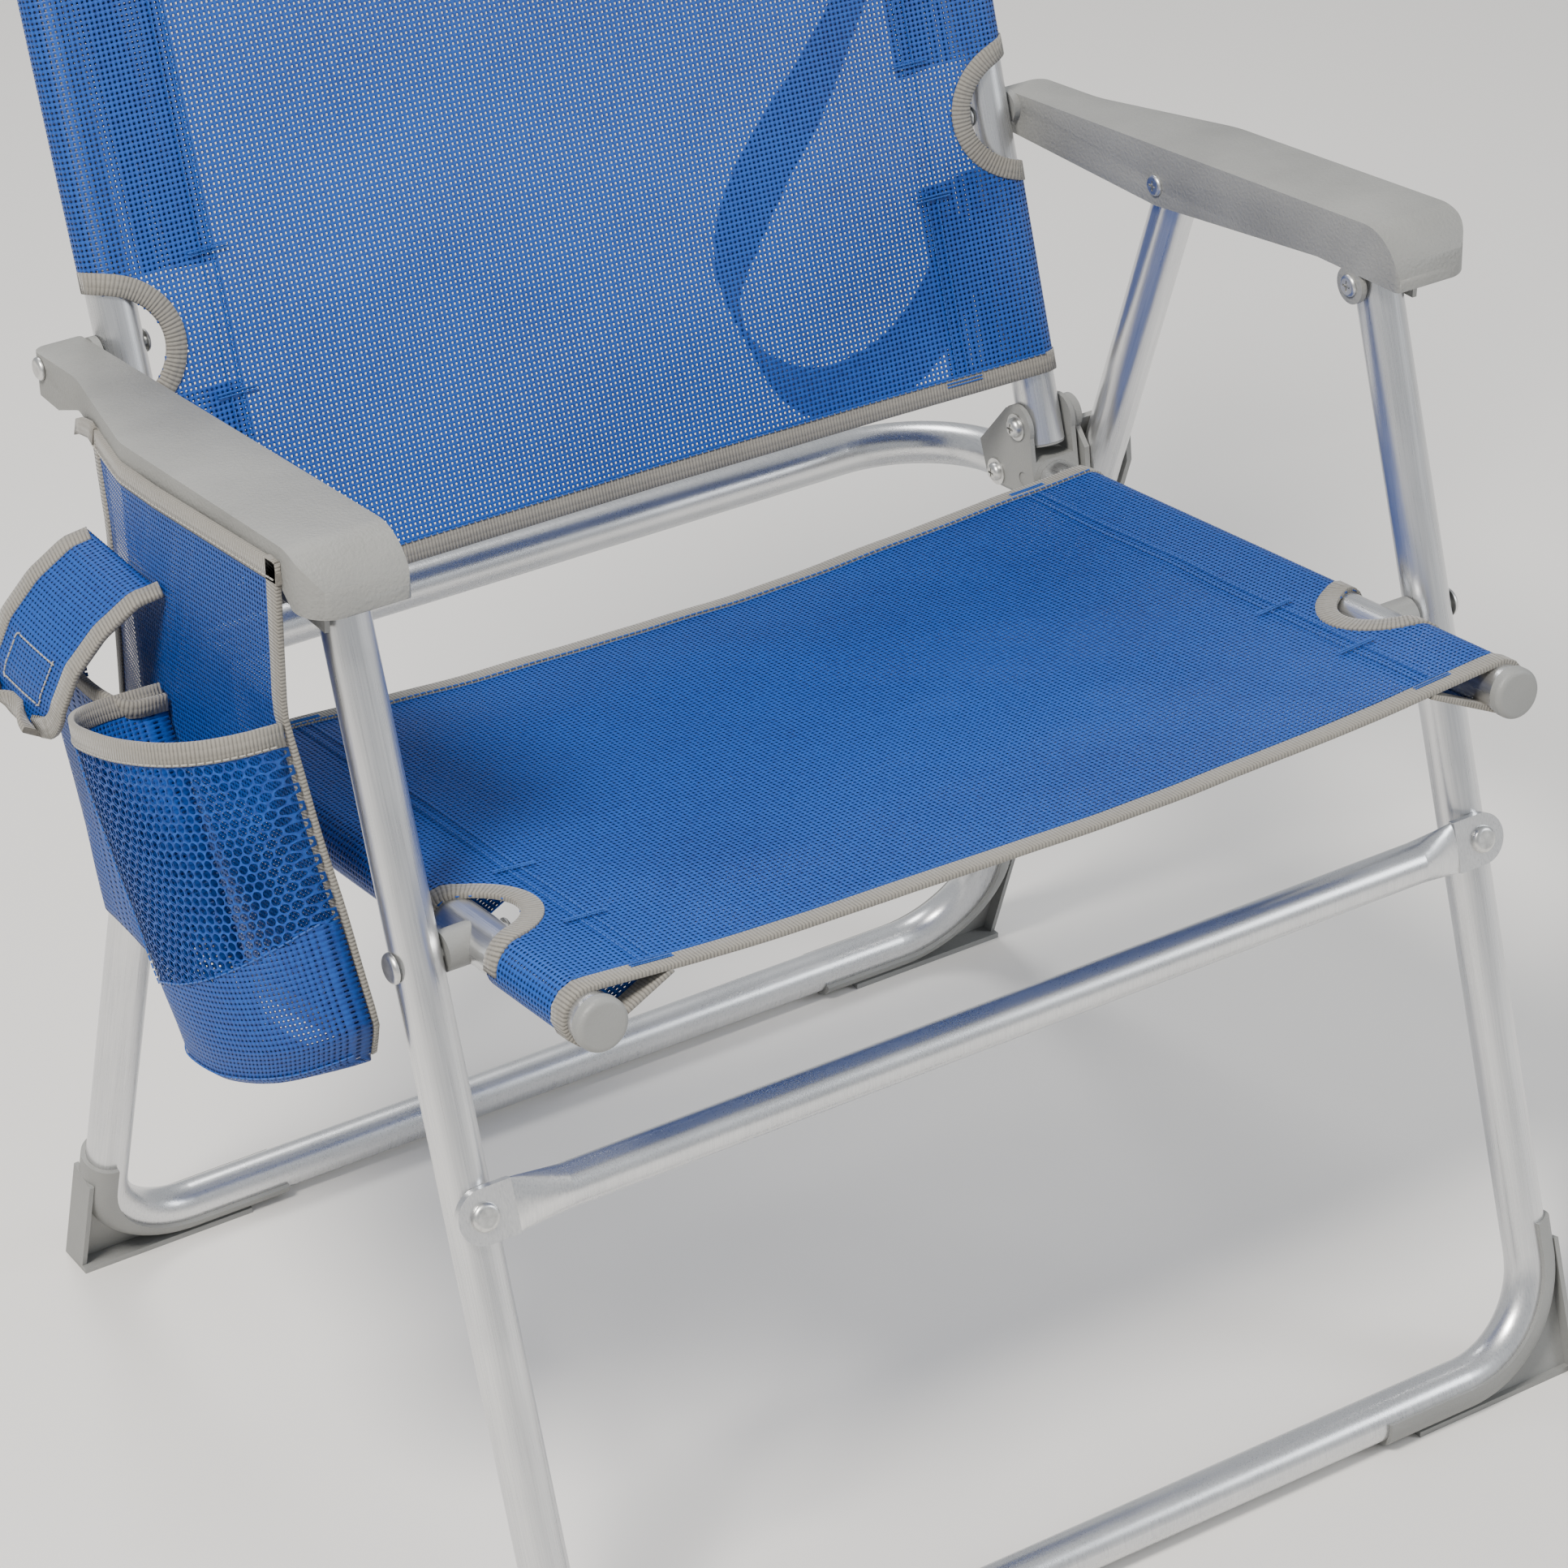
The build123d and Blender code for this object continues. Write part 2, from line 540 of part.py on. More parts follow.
# ---- carrying strap -----------------------------------------------------------------------------
strap_w = 30.0
strap_t = 2.0
loop_r = R + sling_gap + sling_t + 0.3     # loops sewn round the sleeved upright
loop_t = 1.6
loop_w = 26.0
strap_behind = loop_r + loop_t + strap_w / 2 + 0.3
# hand-placed route in the back's own plane: (across, up from the hinge)
strap_points = [(237, 336), (214, 270), (176, 205), (106, 140), (88, 90), (116, 38), (172, 36),
                (212, 64), (237, 100)]


def strap_radii():
    """The largest bend that each corner of the route leaves room for."""
    spots = [Vector(x, z) for x, z in strap_points]
    radii = []
    for before, here, after in zip(spots, spots[1:], spots[2:]):
        turn = math.radians((here - before).get_angle(after - here))
        radii.append(0.45 * min((here - before).length, (after - here).length) / math.tan(turn / 2))
    return radii


def carry_strap():
    """Webbing that hangs in a loop behind the back from two points of the left upright."""
    plane = Plane(HINGE, x_dir=(1, 0, 0), z_dir=BACK_REAR)
    sign = 1 if plane.to_local_coords(HINGE + BACK_UP).Y > 0 else -1
    route = FilletPolyline(*[(x, sign * z) for x, z in strap_points], radius=strap_radii())
    band = offset(route, strap_t / 2, side=Side.BOTH)
    solid = extrude(plane * make_face(band), amount=strap_w)
    return Pos(BACK_REAR * (strap_behind - strap_w / 2)) * solid


def strap_loops():
    """The webbing's two ends, each sewn into a loop round the left upright."""
    ends = []
    for up in (strap_points[0][1], strap_points[-1][1]):
        loop = Cylinder(loop_r + loop_t, loop_w) - Cylinder(loop_r, loop_w + 4)
        ends.append((Plane(at(seat_half_width, HINGE + BACK_UP * up), z_dir=BACK_UP) * loop).solid())
    return Compound(children=ends)


# ---- side bag -----------------------------------------------------------------------------------
bag_rear_y = -38.0
bag_front_y = -238.0
bag_low_z = 292.0
bag_gap = 0.4
bottle_r = 38.0
bottle_tall = 142.0
bottle_deep = 62.0
bottle_top = Vector(0, -180, 464)
phone_deep = 24.0
phone_rear_y = -32.0
phone_front_y = -122.0
phone_low_z = 300.0
phone_top_z = 440.0
flap_fold_z = 486.0
bag_face = arm_outer_front_x + 2 * bag_gap + bag_t


def bag_panel():
    """The bag's back: it hangs from the armrest's outer edge and runs down behind the pockets."""
    wall = extrude(Pos(0, 0, 200) * (arm_plan(-bag_gap - bag_t) - arm_plan(-bag_gap)), amount=400)
    outline = [(bag_rear_y, arm_top(bag_rear_y) - 9), (bag_front_y, arm_top(bag_front_y) - 7),
               (-232, 474), (-262, 352), (-248, 324), (-120, bag_low_z), (-40, bag_low_z),
               (-30, 330), (-52, flap_fold_z)]
    side = plate([Vector(0, y, z) for y, z in outline], leg_half_width + 12, leg_half_width + 50)
    return mirror_x((wall & side).solid())


def bottle_pocket():
    """Round-fronted pocket for a bottle, open at the top, leaning forward with the front leg."""
    low = (Align.CENTER, Align.CENTER, Align.MIN)
    back = (Align.MAX, Align.CENTER, Align.MIN)
    round_x = bottle_deep - bottle_r
    shell = Cylinder(bottle_r, bottle_tall, align=low)
    shell = shell + Box(round_x, 2 * bottle_r, bottle_tall, align=back)
    room = Cylinder(bottle_r - bag_t, bottle_tall, align=low)
    room = room + Box(round_x + 1, 2 * (bottle_r - bag_t), bottle_tall, align=back)
    pocket = shell - Pos(0, 0, bag_t) * room
    pocket = pocket - Pos(-round_x, 0, -1) * Box(99, 199, 399, align=back)
    place = Plane(at(bag_face + round_x, bottle_top), x_dir=(1, 0, 0), z_dir=BACK_UP)
    return mirror_x(place * Pos(0, 0, -bottle_tall) * pocket)


def phone_pocket():
    """Shallow flat pocket behind the bottle pocket, open at the top."""
    wide = phone_rear_y - phone_front_y
    tall = phone_top_z - phone_low_z
    low = (Align.MIN, Align.CENTER, Align.MIN)
    shell = Box(phone_deep, wide, tall, align=low)
    room = Pos(-1, 0, bag_t) * Box(phone_deep - bag_t + 1, wide - 2 * bag_t, tall, align=low)
    pocket = Pos(bag_face, (phone_rear_y + phone_front_y) / 2, phone_low_z) * (shell - room)
    clear = Plane(at(bag_face, bottle_top), x_dir=(1, 0, 0), z_dir=BACK_UP) * Box(
        300, 2 * bottle_r + 2 * bag_gap, 900)
    return mirror_x(max((pocket - clear).solids(), key=lambda piece: piece.volume))


def phone_flap():
    """Flap that folds over the phone pocket from the panel."""
    out = bag_face + phone_deep
    line = [(bag_face, flap_fold_z), (out + 5, phone_top_z + 12), (out + 7, phone_top_z - 36)]
    edge = Polyline(*[(x, phone_rear_y - 18, z) for x, z in line])
    back = Polyline(*[(x + bag_t, phone_rear_y - 18, z + (bag_t if i < 2 else 0))
                      for i, (x, z) in enumerate(line)])
    start = Line(edge @ 0, back @ 0)
    end = Line(edge @ 1, back @ 1)
    strip = make_face(Wire([*edge.edges(), end.edge(), *back.edges(), start.edge()]))
    return mirror_x(extrude(strip, amount=72, dir=(0, -1, 0)))


nodes = {
    "seat_end_caps": seat_end_caps,
    "front_leg_plugs": front_leg_plugs,
    "rear_leg_plugs": rear_leg_plugs,
    "back_end_plugs": back_end_plugs,
    "front_leg_tube": front_leg_tube,
    "rear_leg_tube": rear_leg_tube,
    "seat_frame_tube": seat_frame_tube,
    "back_frame_tube": back_frame_tube,
    "front_stretcher": front_stretcher,
    "stretcher_rivets": stretcher_rivets,
    "front_foot_pads": lambda: foot_pad(FRONT_FOOT, BACK_UP),
    "rear_foot_pads": lambda: foot_pad(REAR_FOOT, -REAR_DOWN),
    "seat_pivot_spacers": seat_pivot_spacers,
    "seat_pivot_rivets": seat_pivot_rivets,
    "hinge_bracket_left": hinge_bracket,
    "hinge_bracket_right": lambda: mirror_x(hinge_bracket()),
    "back_hinge_bolts": back_hinge_bolts,
    "back_hinge_washers": back_hinge_washers,
    "bracket_bolts": bracket_bolts,
    "bracket_washers": bracket_washers,
    "rear_link_left": rear_link,
    "rear_link_right": lambda: mirror_x(rear_link()),
    "armrest_left": armrest,
    "armrest_right": lambda: mirror_x(armrest()),
    "back_spacer_left": back_spacer,
    "back_spacer_right": lambda: mirror_x(back_spacer()),
    "seat_sling": seat_sling,
    "back_sling": back_sling,
    "carry_strap": carry_strap,
    "bag_panel": bag_panel,
    "bottle_pocket": bottle_pocket,
    "phone_pocket": phone_pocket,
    "phone_flap": phone_flap,
    "armrest_screws_left": lambda: Compound(children=list(armrest_screws())),
    "armrest_screws_right": lambda: Compound(children=[mirror_x(s).solid() for s in armrest_screws()]),
    "rear_link_pins_left": lambda: Compound(children=list(rear_link_pins())),
    "rear_link_pins_right": lambda: Compound(children=[mirror_x(s).solid() for s in rear_link_pins()]),
    "strap_loops": strap_loops,
}
def build_all():
    """Every node, moved so that the origin is on the floor under the middle of the whole chair."""
    built = {name: build().solids() for name, build in nodes.items()}
    boxes = [piece.bounding_box() for pieces in built.values() for piece in pieces]
    move_x = -(min(b.min.X for b in boxes) + max(b.max.X for b in boxes)) / 2
    move_y = -(min(b.min.Y for b in boxes) + max(b.max.Y for b in boxes)) / 2
    shift = Vector(move_x, move_y, -min(b.min.Z for b in boxes))
    placed = {name: [Pos(shift) * piece for piece in pieces] for name, pieces in built.items()}
    return placed, shift


os.makedirs("parts", exist_ok=True)
placed, moved = build_all()
for name, pieces in placed.items():
    export_step(pieces[0] if len(pieces) == 1 else Compound(children=pieces), f"parts/{name}.step")
print("strap bends", [round(r, 1) for r in strap_radii()])
print("design frame moved by", [round(v, 3) for v in moved])
for name, p in (("LEG_PIVOT", LEG_PIVOT), ("HINGE", HINGE), ("ARM_FRONT", ARM_FRONT), ("ARM_REAR", ARM_REAR),
                ("ARM_MIDDLE", ARM_MIDDLE), ("LINK_RIVET", LINK_RIVET)):
    print(name, [round(v, 3) for v in p + moved])
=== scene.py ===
import json
import math
import bpy
import bmesh
from mathutils import Matrix, Vector, noise


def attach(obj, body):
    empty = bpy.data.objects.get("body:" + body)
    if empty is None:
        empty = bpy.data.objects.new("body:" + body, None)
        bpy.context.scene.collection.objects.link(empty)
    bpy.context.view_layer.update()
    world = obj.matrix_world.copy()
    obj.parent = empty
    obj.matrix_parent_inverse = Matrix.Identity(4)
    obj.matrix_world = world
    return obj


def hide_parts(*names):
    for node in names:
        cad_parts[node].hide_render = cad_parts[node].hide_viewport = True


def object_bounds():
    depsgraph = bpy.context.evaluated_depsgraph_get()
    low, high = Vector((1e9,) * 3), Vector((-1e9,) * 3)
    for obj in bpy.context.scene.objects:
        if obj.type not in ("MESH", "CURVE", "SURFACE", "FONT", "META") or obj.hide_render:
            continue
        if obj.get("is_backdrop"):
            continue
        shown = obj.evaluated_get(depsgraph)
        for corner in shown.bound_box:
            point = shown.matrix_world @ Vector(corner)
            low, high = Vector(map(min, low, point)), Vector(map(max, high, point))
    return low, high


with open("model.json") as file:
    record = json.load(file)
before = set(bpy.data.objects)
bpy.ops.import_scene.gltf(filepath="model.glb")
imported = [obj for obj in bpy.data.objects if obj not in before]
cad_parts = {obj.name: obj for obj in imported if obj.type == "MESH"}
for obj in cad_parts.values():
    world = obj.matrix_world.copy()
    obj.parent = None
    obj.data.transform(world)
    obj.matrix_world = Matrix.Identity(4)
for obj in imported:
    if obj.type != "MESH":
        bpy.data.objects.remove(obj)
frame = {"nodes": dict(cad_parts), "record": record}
cad_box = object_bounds()

# ---- Camera, floor and light --------------------------------------------------------------------
# The chair stands on a plain pale floor and is seen from its front right corner, from above.
# Soft light comes from a pale sky, one strong lamp high on the left and two weaker ones.
pivot_to_middle = 0.274903      # from the leg pivots to the middle of the chair, front to back
pivots = {j["name"]: Vector(j["pos_m"]) for j in frame["record"]["behaviour"]["joints"]}
under_middle = Vector((pivots["fold"].x, pivots["fold"].y + pivot_to_middle, 0))


def spot(x, y, z):
    """A place on the chair, in millimetres across, front to back and up from its middle."""
    return Vector((x, y, z)) / 1000 + under_middle


eye = bpy.data.objects.new("viewpoint", bpy.data.cameras.new("viewpoint"))
bpy.context.collection.objects.link(eye)
right = Vector((0.8438, -0.5360, -0.0279)).normalized()
back = Vector((-0.4615, -0.7511, 0.4720)).normalized()
up = back.cross(right)
turned = Matrix((right, up, back)).transposed().to_4x4()
eye.matrix_world = Matrix.Translation(spot(-1025.1, -1779.7, 1414.4)) @ turned
eye.data.sensor_width = 36.0
eye.data.lens = 109.7
eye.data.shift_x = 0.0202
eye.data.shift_y = -0.0915
eye.data.clip_start = 0.05
bpy.context.scene.camera = eye

sky = bpy.data.worlds.new("pale_sky")
bpy.context.scene.world = sky
sky.use_nodes = True
sky.node_tree.nodes["Background"].inputs["Color"].default_value = (0.93, 0.96, 1.0, 1)
sky.node_tree.nodes["Background"].inputs["Strength"].default_value = 0.62


def lamp(name, place, size, power, colour):
    """A round soft lamp that shines on the chair's middle."""
    aim = Vector((0, 0, 0.4))
    light = bpy.data.lights.new(name, "AREA")
    light.shape = "DISK"
    light.size = size
    light.energy = power
    light.color = colour
    obj = bpy.data.objects.new(name, light)
    bpy.context.collection.objects.link(obj)
    obj.location = place
    obj.rotation_euler = (aim - Vector(place)).to_track_quat("-Z", "Y").to_euler()


lamp("broad_lamp", (-1.6, -1.0, 2.9), 0.8, 150, (1.0, 0.965, 0.91))
lamp("fill_lamp", (2.2, -1.8, 1.6), 1.2, 34, (0.92, 0.96, 1.0))
lamp("high_lamp", (0.3, 1.6, 2.6), 1.0, 30, (1.0, 1.0, 1.0))


def new_finish(name):
    """A material with its Principled shader, its nodes and its links."""
    mat = bpy.data.materials.new(name)
    mat.use_nodes = True
    tree = mat.node_tree
    return mat, tree.nodes, tree.links, tree.nodes["Principled BSDF"]


floor_mesh = bpy.data.meshes.new("floor")
reach = 9
floor_corners = [(-reach, -reach, 0), (reach, -reach, 0), (reach, reach, 0), (-reach, reach, 0)]
floor_mesh.from_pydata(floor_corners, [], [(0, 1, 2, 3)])
floor = bpy.data.objects.new("floor", floor_mesh)
bpy.context.collection.objects.link(floor)
floor_mat, nodes, links, shader = new_finish("pale_floor")
shader.inputs["Base Color"].default_value = (0.74, 0.72, 0.69, 1)
shader.inputs["Roughness"].default_value = 0.9
floor.data.materials.append(floor_mat)
floor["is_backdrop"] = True


# ---- Carrying strap -----------------------------------------------------------------------------
# Blue flat-woven webbing, 30 mm wide, in a loop behind the back: a flat band along a smooth curve.
# Two sewn loops, one for each end, go half round the left upright. The band lies behind them and
# its ends stop short of them.
lean = math.radians(16.6)
back_up = Vector((0, math.sin(lean), math.cos(lean)))
back_rear = Vector((0, math.cos(lean), -math.sin(lean)))
hinge = Vector((under_middle.x, pivots["back_fold"].y, pivots["back_fold"].z))
strap_behind = 0.0299
strap_width = 0.030
strap_thick = 0.0019
strap_spots = [(237, 336), (214, 270), (176, 205), (106, 140), (88, 90), (116, 38), (172, 36), (212, 64),
               (237, 100)]


def on_back(x, up_back, behind):
    """A place on the back, in metres: across, up from its hinge and behind its uprights."""
    return hinge + Vector((x, 0, 0)) + back_up * up_back + back_rear * behind


route = bpy.data.curves.new("strap_route", "CURVE")
route.dimensions = "3D"
route.resolution_u = 12
line = route.splines.new("NURBS")
line.points.add(len(strap_spots) - 1)
for point, (x, z) in zip(line.points, strap_spots):
    point.co = (*on_back(x / 1000, z / 1000, strap_behind), 1)
line.order_u = 3
line.use_endpoint_u = True
route_obj = bpy.data.objects.new("strap_route", route)
bpy.context.collection.objects.link(route_obj)
traced = bpy.data.meshes.new_from_object(route_obj.evaluated_get(bpy.context.evaluated_depsgraph_get()))
strap_line = [v.co.copy() for v in traced.vertices]
bpy.data.objects.remove(route_obj)


def lengths(points):
    """How far along a line each of its points is."""
    far = [0.0]
    for a, b in zip(points, points[1:]):
        far.append(far[-1] + (b - a).length)
    return far


def new_piece(name, verts, faces, uvs, mat):
    """A mesh piece; uvs gives each corner's place on the flat cloth, in metres."""
    mesh = bpy.data.meshes.new(name)
    mesh.from_pydata([tuple(v) for v in verts], [], faces)
    layer = mesh.uv_layers.new(name="cloth")
    for face, spots in zip(mesh.polygons, uvs):
        for corner, uv in zip(face.loop_indices, spots):
            layer.data[corner].uv = uv
    mesh.polygons.foreach_set("use_smooth", [True] * len(mesh.polygons))
    mesh.materials.append(mat)
    obj = bpy.data.objects.new(name, mesh)
    bpy.context.collection.objects.link(obj)
    return obj


def ribbon(name, path, wide, normals, width, thick, mat, sink=0.0):
    """A band with rounded edges along path. wide points across it, normals out of its face."""
    far = lengths(path)
    ring = [(-0.5, -0.35), (-0.47, -0.5), (0.47, -0.5), (0.5, -0.35), (0.5, 0.35), (0.47, 0.5), (-0.47, 0.5),
            (-0.5, 0.35)]
    verts = []
    for p, w, n in zip(path, wide, normals):
        verts += [p + w * (a * width + sink) + n * (b * thick) for a, b in ring]
    m, faces, uvs = len(ring), [], []
    for i in range(len(path) - 1):
        k = i + 1
        for j in range(m):
            h = (j + 1) % m
            faces.append((i * m + j, i * m + h, k * m + h, k * m + j))
            u0, u1 = (ring[j][0] + 0.5) * width, (ring[h][0] + 0.5) * width
            uvs.append(((u0, far[i]), (u1, far[i]), (u1, far[k]), (u0, far[k])))
    faces += [tuple(reversed(range(m))), tuple((len(path) - 1) * m + j for j in range(m))]
    cap = [(a * width, b * width) for a, b in ring]
    uvs += [tuple(reversed(cap)), tuple(cap)]
    obj = new_piece(name, verts, faces, uvs, mat)
    for face in obj.data.polygons:
        face.use_smooth = len(face.vertices) == 4
    tidy = bmesh.new()
    tidy.from_mesh(obj.data)
    bmesh.ops.recalc_face_normals(tidy, faces=tidy.faces)
    tidy.to_mesh(obj.data)
    tidy.free()
    return obj


def between(nodes, links, amount, low, high):
    """A colour ramp node between two colours, driven by amount."""
    ramp = nodes.new("ShaderNodeValToRGB")
    ramp.color_ramp.elements[0].position = 0.3
    ramp.color_ramp.elements[1].position = 0.7
    ramp.color_ramp.elements[0].color = (*low, 1)
    ramp.color_ramp.elements[1].color = (*high, 1)
    links.new(amount, ramp.inputs["Fac"])
    return ramp.outputs["Color"]


def grain(nodes, links, scale, detail=2.0, stretch=None, tilt=0.0):
    """Noise on the piece's own coordinates, drawn out along a tilted direction if stretch is set."""
    where = nodes.new("ShaderNodeTexCoord")
    laid = nodes.new("ShaderNodeMapping")
    laid.vector_type = "TEXTURE"
    laid.inputs["Rotation"].default_value = (math.radians(tilt), 0, 0)
    if stretch:
        laid.inputs["Scale"].default_value = (1, 1, stretch)
    speckle = nodes.new("ShaderNodeTexNoise")
    speckle.inputs["Scale"].default_value = scale
    speckle.inputs["Detail"].default_value = detail
    links.new(where.outputs["Object"], laid.inputs["Vector"])
    links.new(laid.outputs["Vector"], speckle.inputs["Vector"])
    return speckle.outputs["Fac"]


def emboss(nodes, links, shader, height, depth, strength=1.0):
    """Raises the surface by a height that runs over it, up to depth in metres."""
    bump = nodes.new("ShaderNodeBump")
    bump.inputs["Distance"].default_value = depth
    bump.inputs["Strength"].default_value = strength
    links.new(height, bump.inputs["Height"])
    links.new(bump.outputs["Normal"], shader.inputs["Normal"])


def wave(nodes, links, value, pitch):
    """0 to 1 and back, once for every pitch."""
    times = nodes.new("ShaderNodeMath")
    times.operation = "MULTIPLY"
    times.inputs[1].default_value = math.pi / pitch
    turn = nodes.new("ShaderNodeMath")
    turn.operation = "SINE"
    up_only = nodes.new("ShaderNodeMath")
    up_only.operation = "ABSOLUTE"
    links.new(value, times.inputs[0])
    links.new(times.outputs[0], turn.inputs[0])
    links.new(turn.outputs[0], up_only.inputs[0])
    return up_only.outputs[0]


def maths(nodes, links, kind, a, b=None):
    """One sum between two values, each a number or another node's output."""
    node = nodes.new("ShaderNodeMath")
    node.operation = kind
    for socket, value in zip(node.inputs, (a, b)):
        if isinstance(value, (int, float)):
            socket.default_value = value
        elif value is not None:
            links.new(value, socket)
    return node.outputs[0]


def flat_cloth(nodes, links):
    """The two coordinates on the flat cloth, in metres."""
    place = nodes.new("ShaderNodeUVMap")
    place.uv_map = "cloth"
    parts = nodes.new("ShaderNodeSeparateXYZ")
    links.new(place.outputs["UV"], parts.inputs["Vector"])
    return parts.outputs["X"], parts.outputs["Y"]


def webbing(name, low, high, rib, cross):
    """Ribbed tape or webbing: ribs across its length and fine threads along it."""
    mat, nodes, links, shader = new_finish(name)
    u, v = flat_cloth(nodes, links)
    ribs = wave(nodes, links, v, rib)
    threads = wave(nodes, links, u, cross)
    height = maths(nodes, links, "MULTIPLY_ADD", threads, 0.5)
    links.new(ribs, height.node.inputs[2])
    fuzz = grain(nodes, links, 700, 3)
    dirt = grain(nodes, links, 28, 3)
    # Painted shade: the ribs' crests are painted lighter and the grooves between them darker, mixed with
    # random fuzz.
    fuzz_and_painted_shade = maths(nodes, links, "MULTIPLY_ADD", fuzz, 0.45)
    links.new(maths(nodes, links, "MULTIPLY", ribs, 0.55), fuzz_and_painted_shade.node.inputs[2])
    blend = maths(nodes, links, "MULTIPLY_ADD", dirt, 0.3)
    links.new(maths(nodes, links, "MULTIPLY", fuzz_and_painted_shade, 0.8), blend.node.inputs[2])
    links.new(between(nodes, links, blend, low, high), shader.inputs["Base Color"])
    shader.inputs["Roughness"].default_value = 0.8
    shader.inputs["Sheen Weight"].default_value = 0.25
    emboss(nodes, links, shader, height, 0.0004, 0.8)
    return mat


blue_webbing = webbing("blue_webbing", (0.0, 0.018, 0.13), (0.0, 0.055, 0.29), 0.0018, 0.0022)
twists = [(1.05, 0.62, 0.08), (0.55, 0.76, 0.09), (0.5, 0.26, 0.10)]     # how far, where and over how much
far = lengths(strap_line)
band_across, band_normals = [], []
for i in range(len(strap_line)):
    ahead = (strap_line[min(i + 1, len(strap_line) - 1)] - strap_line[max(i - 1, 0)]).normalized()
    flat_across = ahead.cross(back_rear).normalized()
    share = far[i] / far[-1]
    twist = sum(most * math.exp(-((share - where) / over) ** 2) for most, where, over in twists)
    across = (flat_across * math.cos(twist) + back_rear * math.sin(twist)).normalized()
    band_across.append(across)
    band_normals.append(across.cross(ahead).normalized())
strap = ribbon("carry_strap_webbing", strap_line, band_across, band_normals, strap_width, strap_thick,
               blue_webbing)
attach(strap, "back")
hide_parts("carry_strap")
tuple(strap_line[0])
loop_ring = 0.0138
loop_width = 0.0255
loop_thick = 0.0016
for n, (x, z) in enumerate((strap_spots[0], strap_spots[-1])):
    turns = [math.radians(-100 + 8 * k) for k in range(23)]
    round_it = [on_back(x / 1000 + loop_ring * math.sin(t), z / 1000, loop_ring * math.cos(t)) for t in turns]
    outward = [Vector((math.sin(t), 0, 0)) + back_rear * math.cos(t) for t in turns]
    loop = ribbon(f"strap_loop_{n + 1}", round_it, [back_up] * 23, outward, loop_width,
                  loop_thick, blue_webbing)
    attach(loop, "back")
    if n == 0:
        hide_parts("strap_loops")


# ---- Aluminium frame tubes ----------------------------------------------------------------------
# Four bent tubes of 22 mm aluminium and a thinner stretcher, satin anodised. The fine lines that
# drawing leaves run along each frame's straight legs, so each frame has its own direction.
def span(nodes, links, amount, low, high):
    """amount from 0 to 1, spread from low to high."""
    node = nodes.new("ShaderNodeMapRange")
    node.inputs["To Min"].default_value = low
    node.inputs["To Max"].default_value = high
    links.new(amount, node.inputs["Value"])
    return node.outputs["Result"]


def drawn_tube(name, tilt):
    """Drawn and anodised aluminium; tilt is the tube's lean in degrees, which its fine lines follow."""
    mat, nodes, links, shader = new_finish(name)
    fine = grain(nodes, links, 1500, 2, stretch=60, tilt=tilt)
    cloudy = grain(nodes, links, 22, 3)
    both = maths(nodes, links, "MULTIPLY_ADD", fine, 0.6)
    links.new(maths(nodes, links, "MULTIPLY", cloudy, 0.4), both.node.inputs[2])
    silver = between(nodes, links, both, (0.55, 0.56, 0.575), (0.72, 0.72, 0.72))
    links.new(silver, shader.inputs["Base Color"])
    links.new(span(nodes, links, both, 0.20, 0.38), shader.inputs["Roughness"])
    shader.inputs["Metallic"].default_value = 0.92
    emboss(nodes, links, shader, fine, 0.00004, 0.5)
    return mat


def finish_node(node, mat):
    """Gives a CAD part its material."""
    mesh = frame["nodes"][node].data
    if not mesh.materials:
        mesh.materials.append(mat)
    for k in range(len(mesh.materials)):
        mesh.materials[k] = mat


finish_node("front_leg_tube", drawn_tube("anodised_front_legs", -16.6))
finish_node("back_frame_tube", drawn_tube("anodised_back", -16.6))
finish_node("rear_leg_tube", drawn_tube("anodised_rear_legs", 20.0))
finish_node("seat_frame_tube", drawn_tube("anodised_seat", -95.7))
finish_node("front_stretcher", drawn_tube("anodised_stretcher", 0.0))


# ---- Moulded grey fittings ----------------------------------------------------------------------
# Caps, plugs, foot pads, hinge brackets, rear links and spacers are injection moulded in grey
# plastic with a fine matt grain.
def moulded(name, low, high, grain_size, depth, rough):
    """Moulded plastic: two shades, the grain's fineness and depth, and how matt it is."""
    mat, nodes, links, shader = new_finish(name)
    pimples = grain(nodes, links, grain_size, 2)
    clouds = grain(nodes, links, 16, 4)
    links.new(between(nodes, links, clouds, low, high), shader.inputs["Base Color"])
    links.new(span(nodes, links, clouds, rough - 0.07, rough + 0.09), shader.inputs["Roughness"])
    emboss(nodes, links, shader, pimples, depth, 0.6)
    return mat


grey_moulding = moulded("grey_moulding", (0.190, 0.192, 0.186), (0.245, 0.247, 0.238), 1100, 0.0003, 0.47)
for node in ("seat_end_caps", "front_leg_plugs", "rear_leg_plugs", "back_end_plugs", "front_foot_pads",
             "rear_foot_pads", "hinge_bracket_left", "hinge_bracket_right", "rear_link_left",
             "rear_link_right", "seat_pivot_spacers", "back_spacer_left", "back_spacer_right"):
    finish_node(node, grey_moulding)


# ---- Rivets, screws and washers -----------------------------------------------------------------
# Small zinc plated steel fixings with a dull, slightly cloudy plating.
zinc, nodes, links, shader = new_finish("zinc_plating")
clouds = grain(nodes, links, 350, 4)
plating = between(nodes, links, clouds, (0.50, 0.50, 0.49), (0.68, 0.68, 0.66))
links.new(plating, shader.inputs["Base Color"])
links.new(span(nodes, links, clouds, 0.25, 0.5), shader.inputs["Roughness"])
shader.inputs["Metallic"].default_value = 1.0
emboss(nodes, links, shader, clouds, 0.00005, 0.5)
for node in ("stretcher_rivets", "seat_pivot_rivets", "back_hinge_bolts", "back_hinge_washers",
             "bracket_bolts", "bracket_washers", "armrest_screws_left", "armrest_screws_right",
             "rear_link_pins_left", "rear_link_pins_right"):
    finish_node(node, zinc)


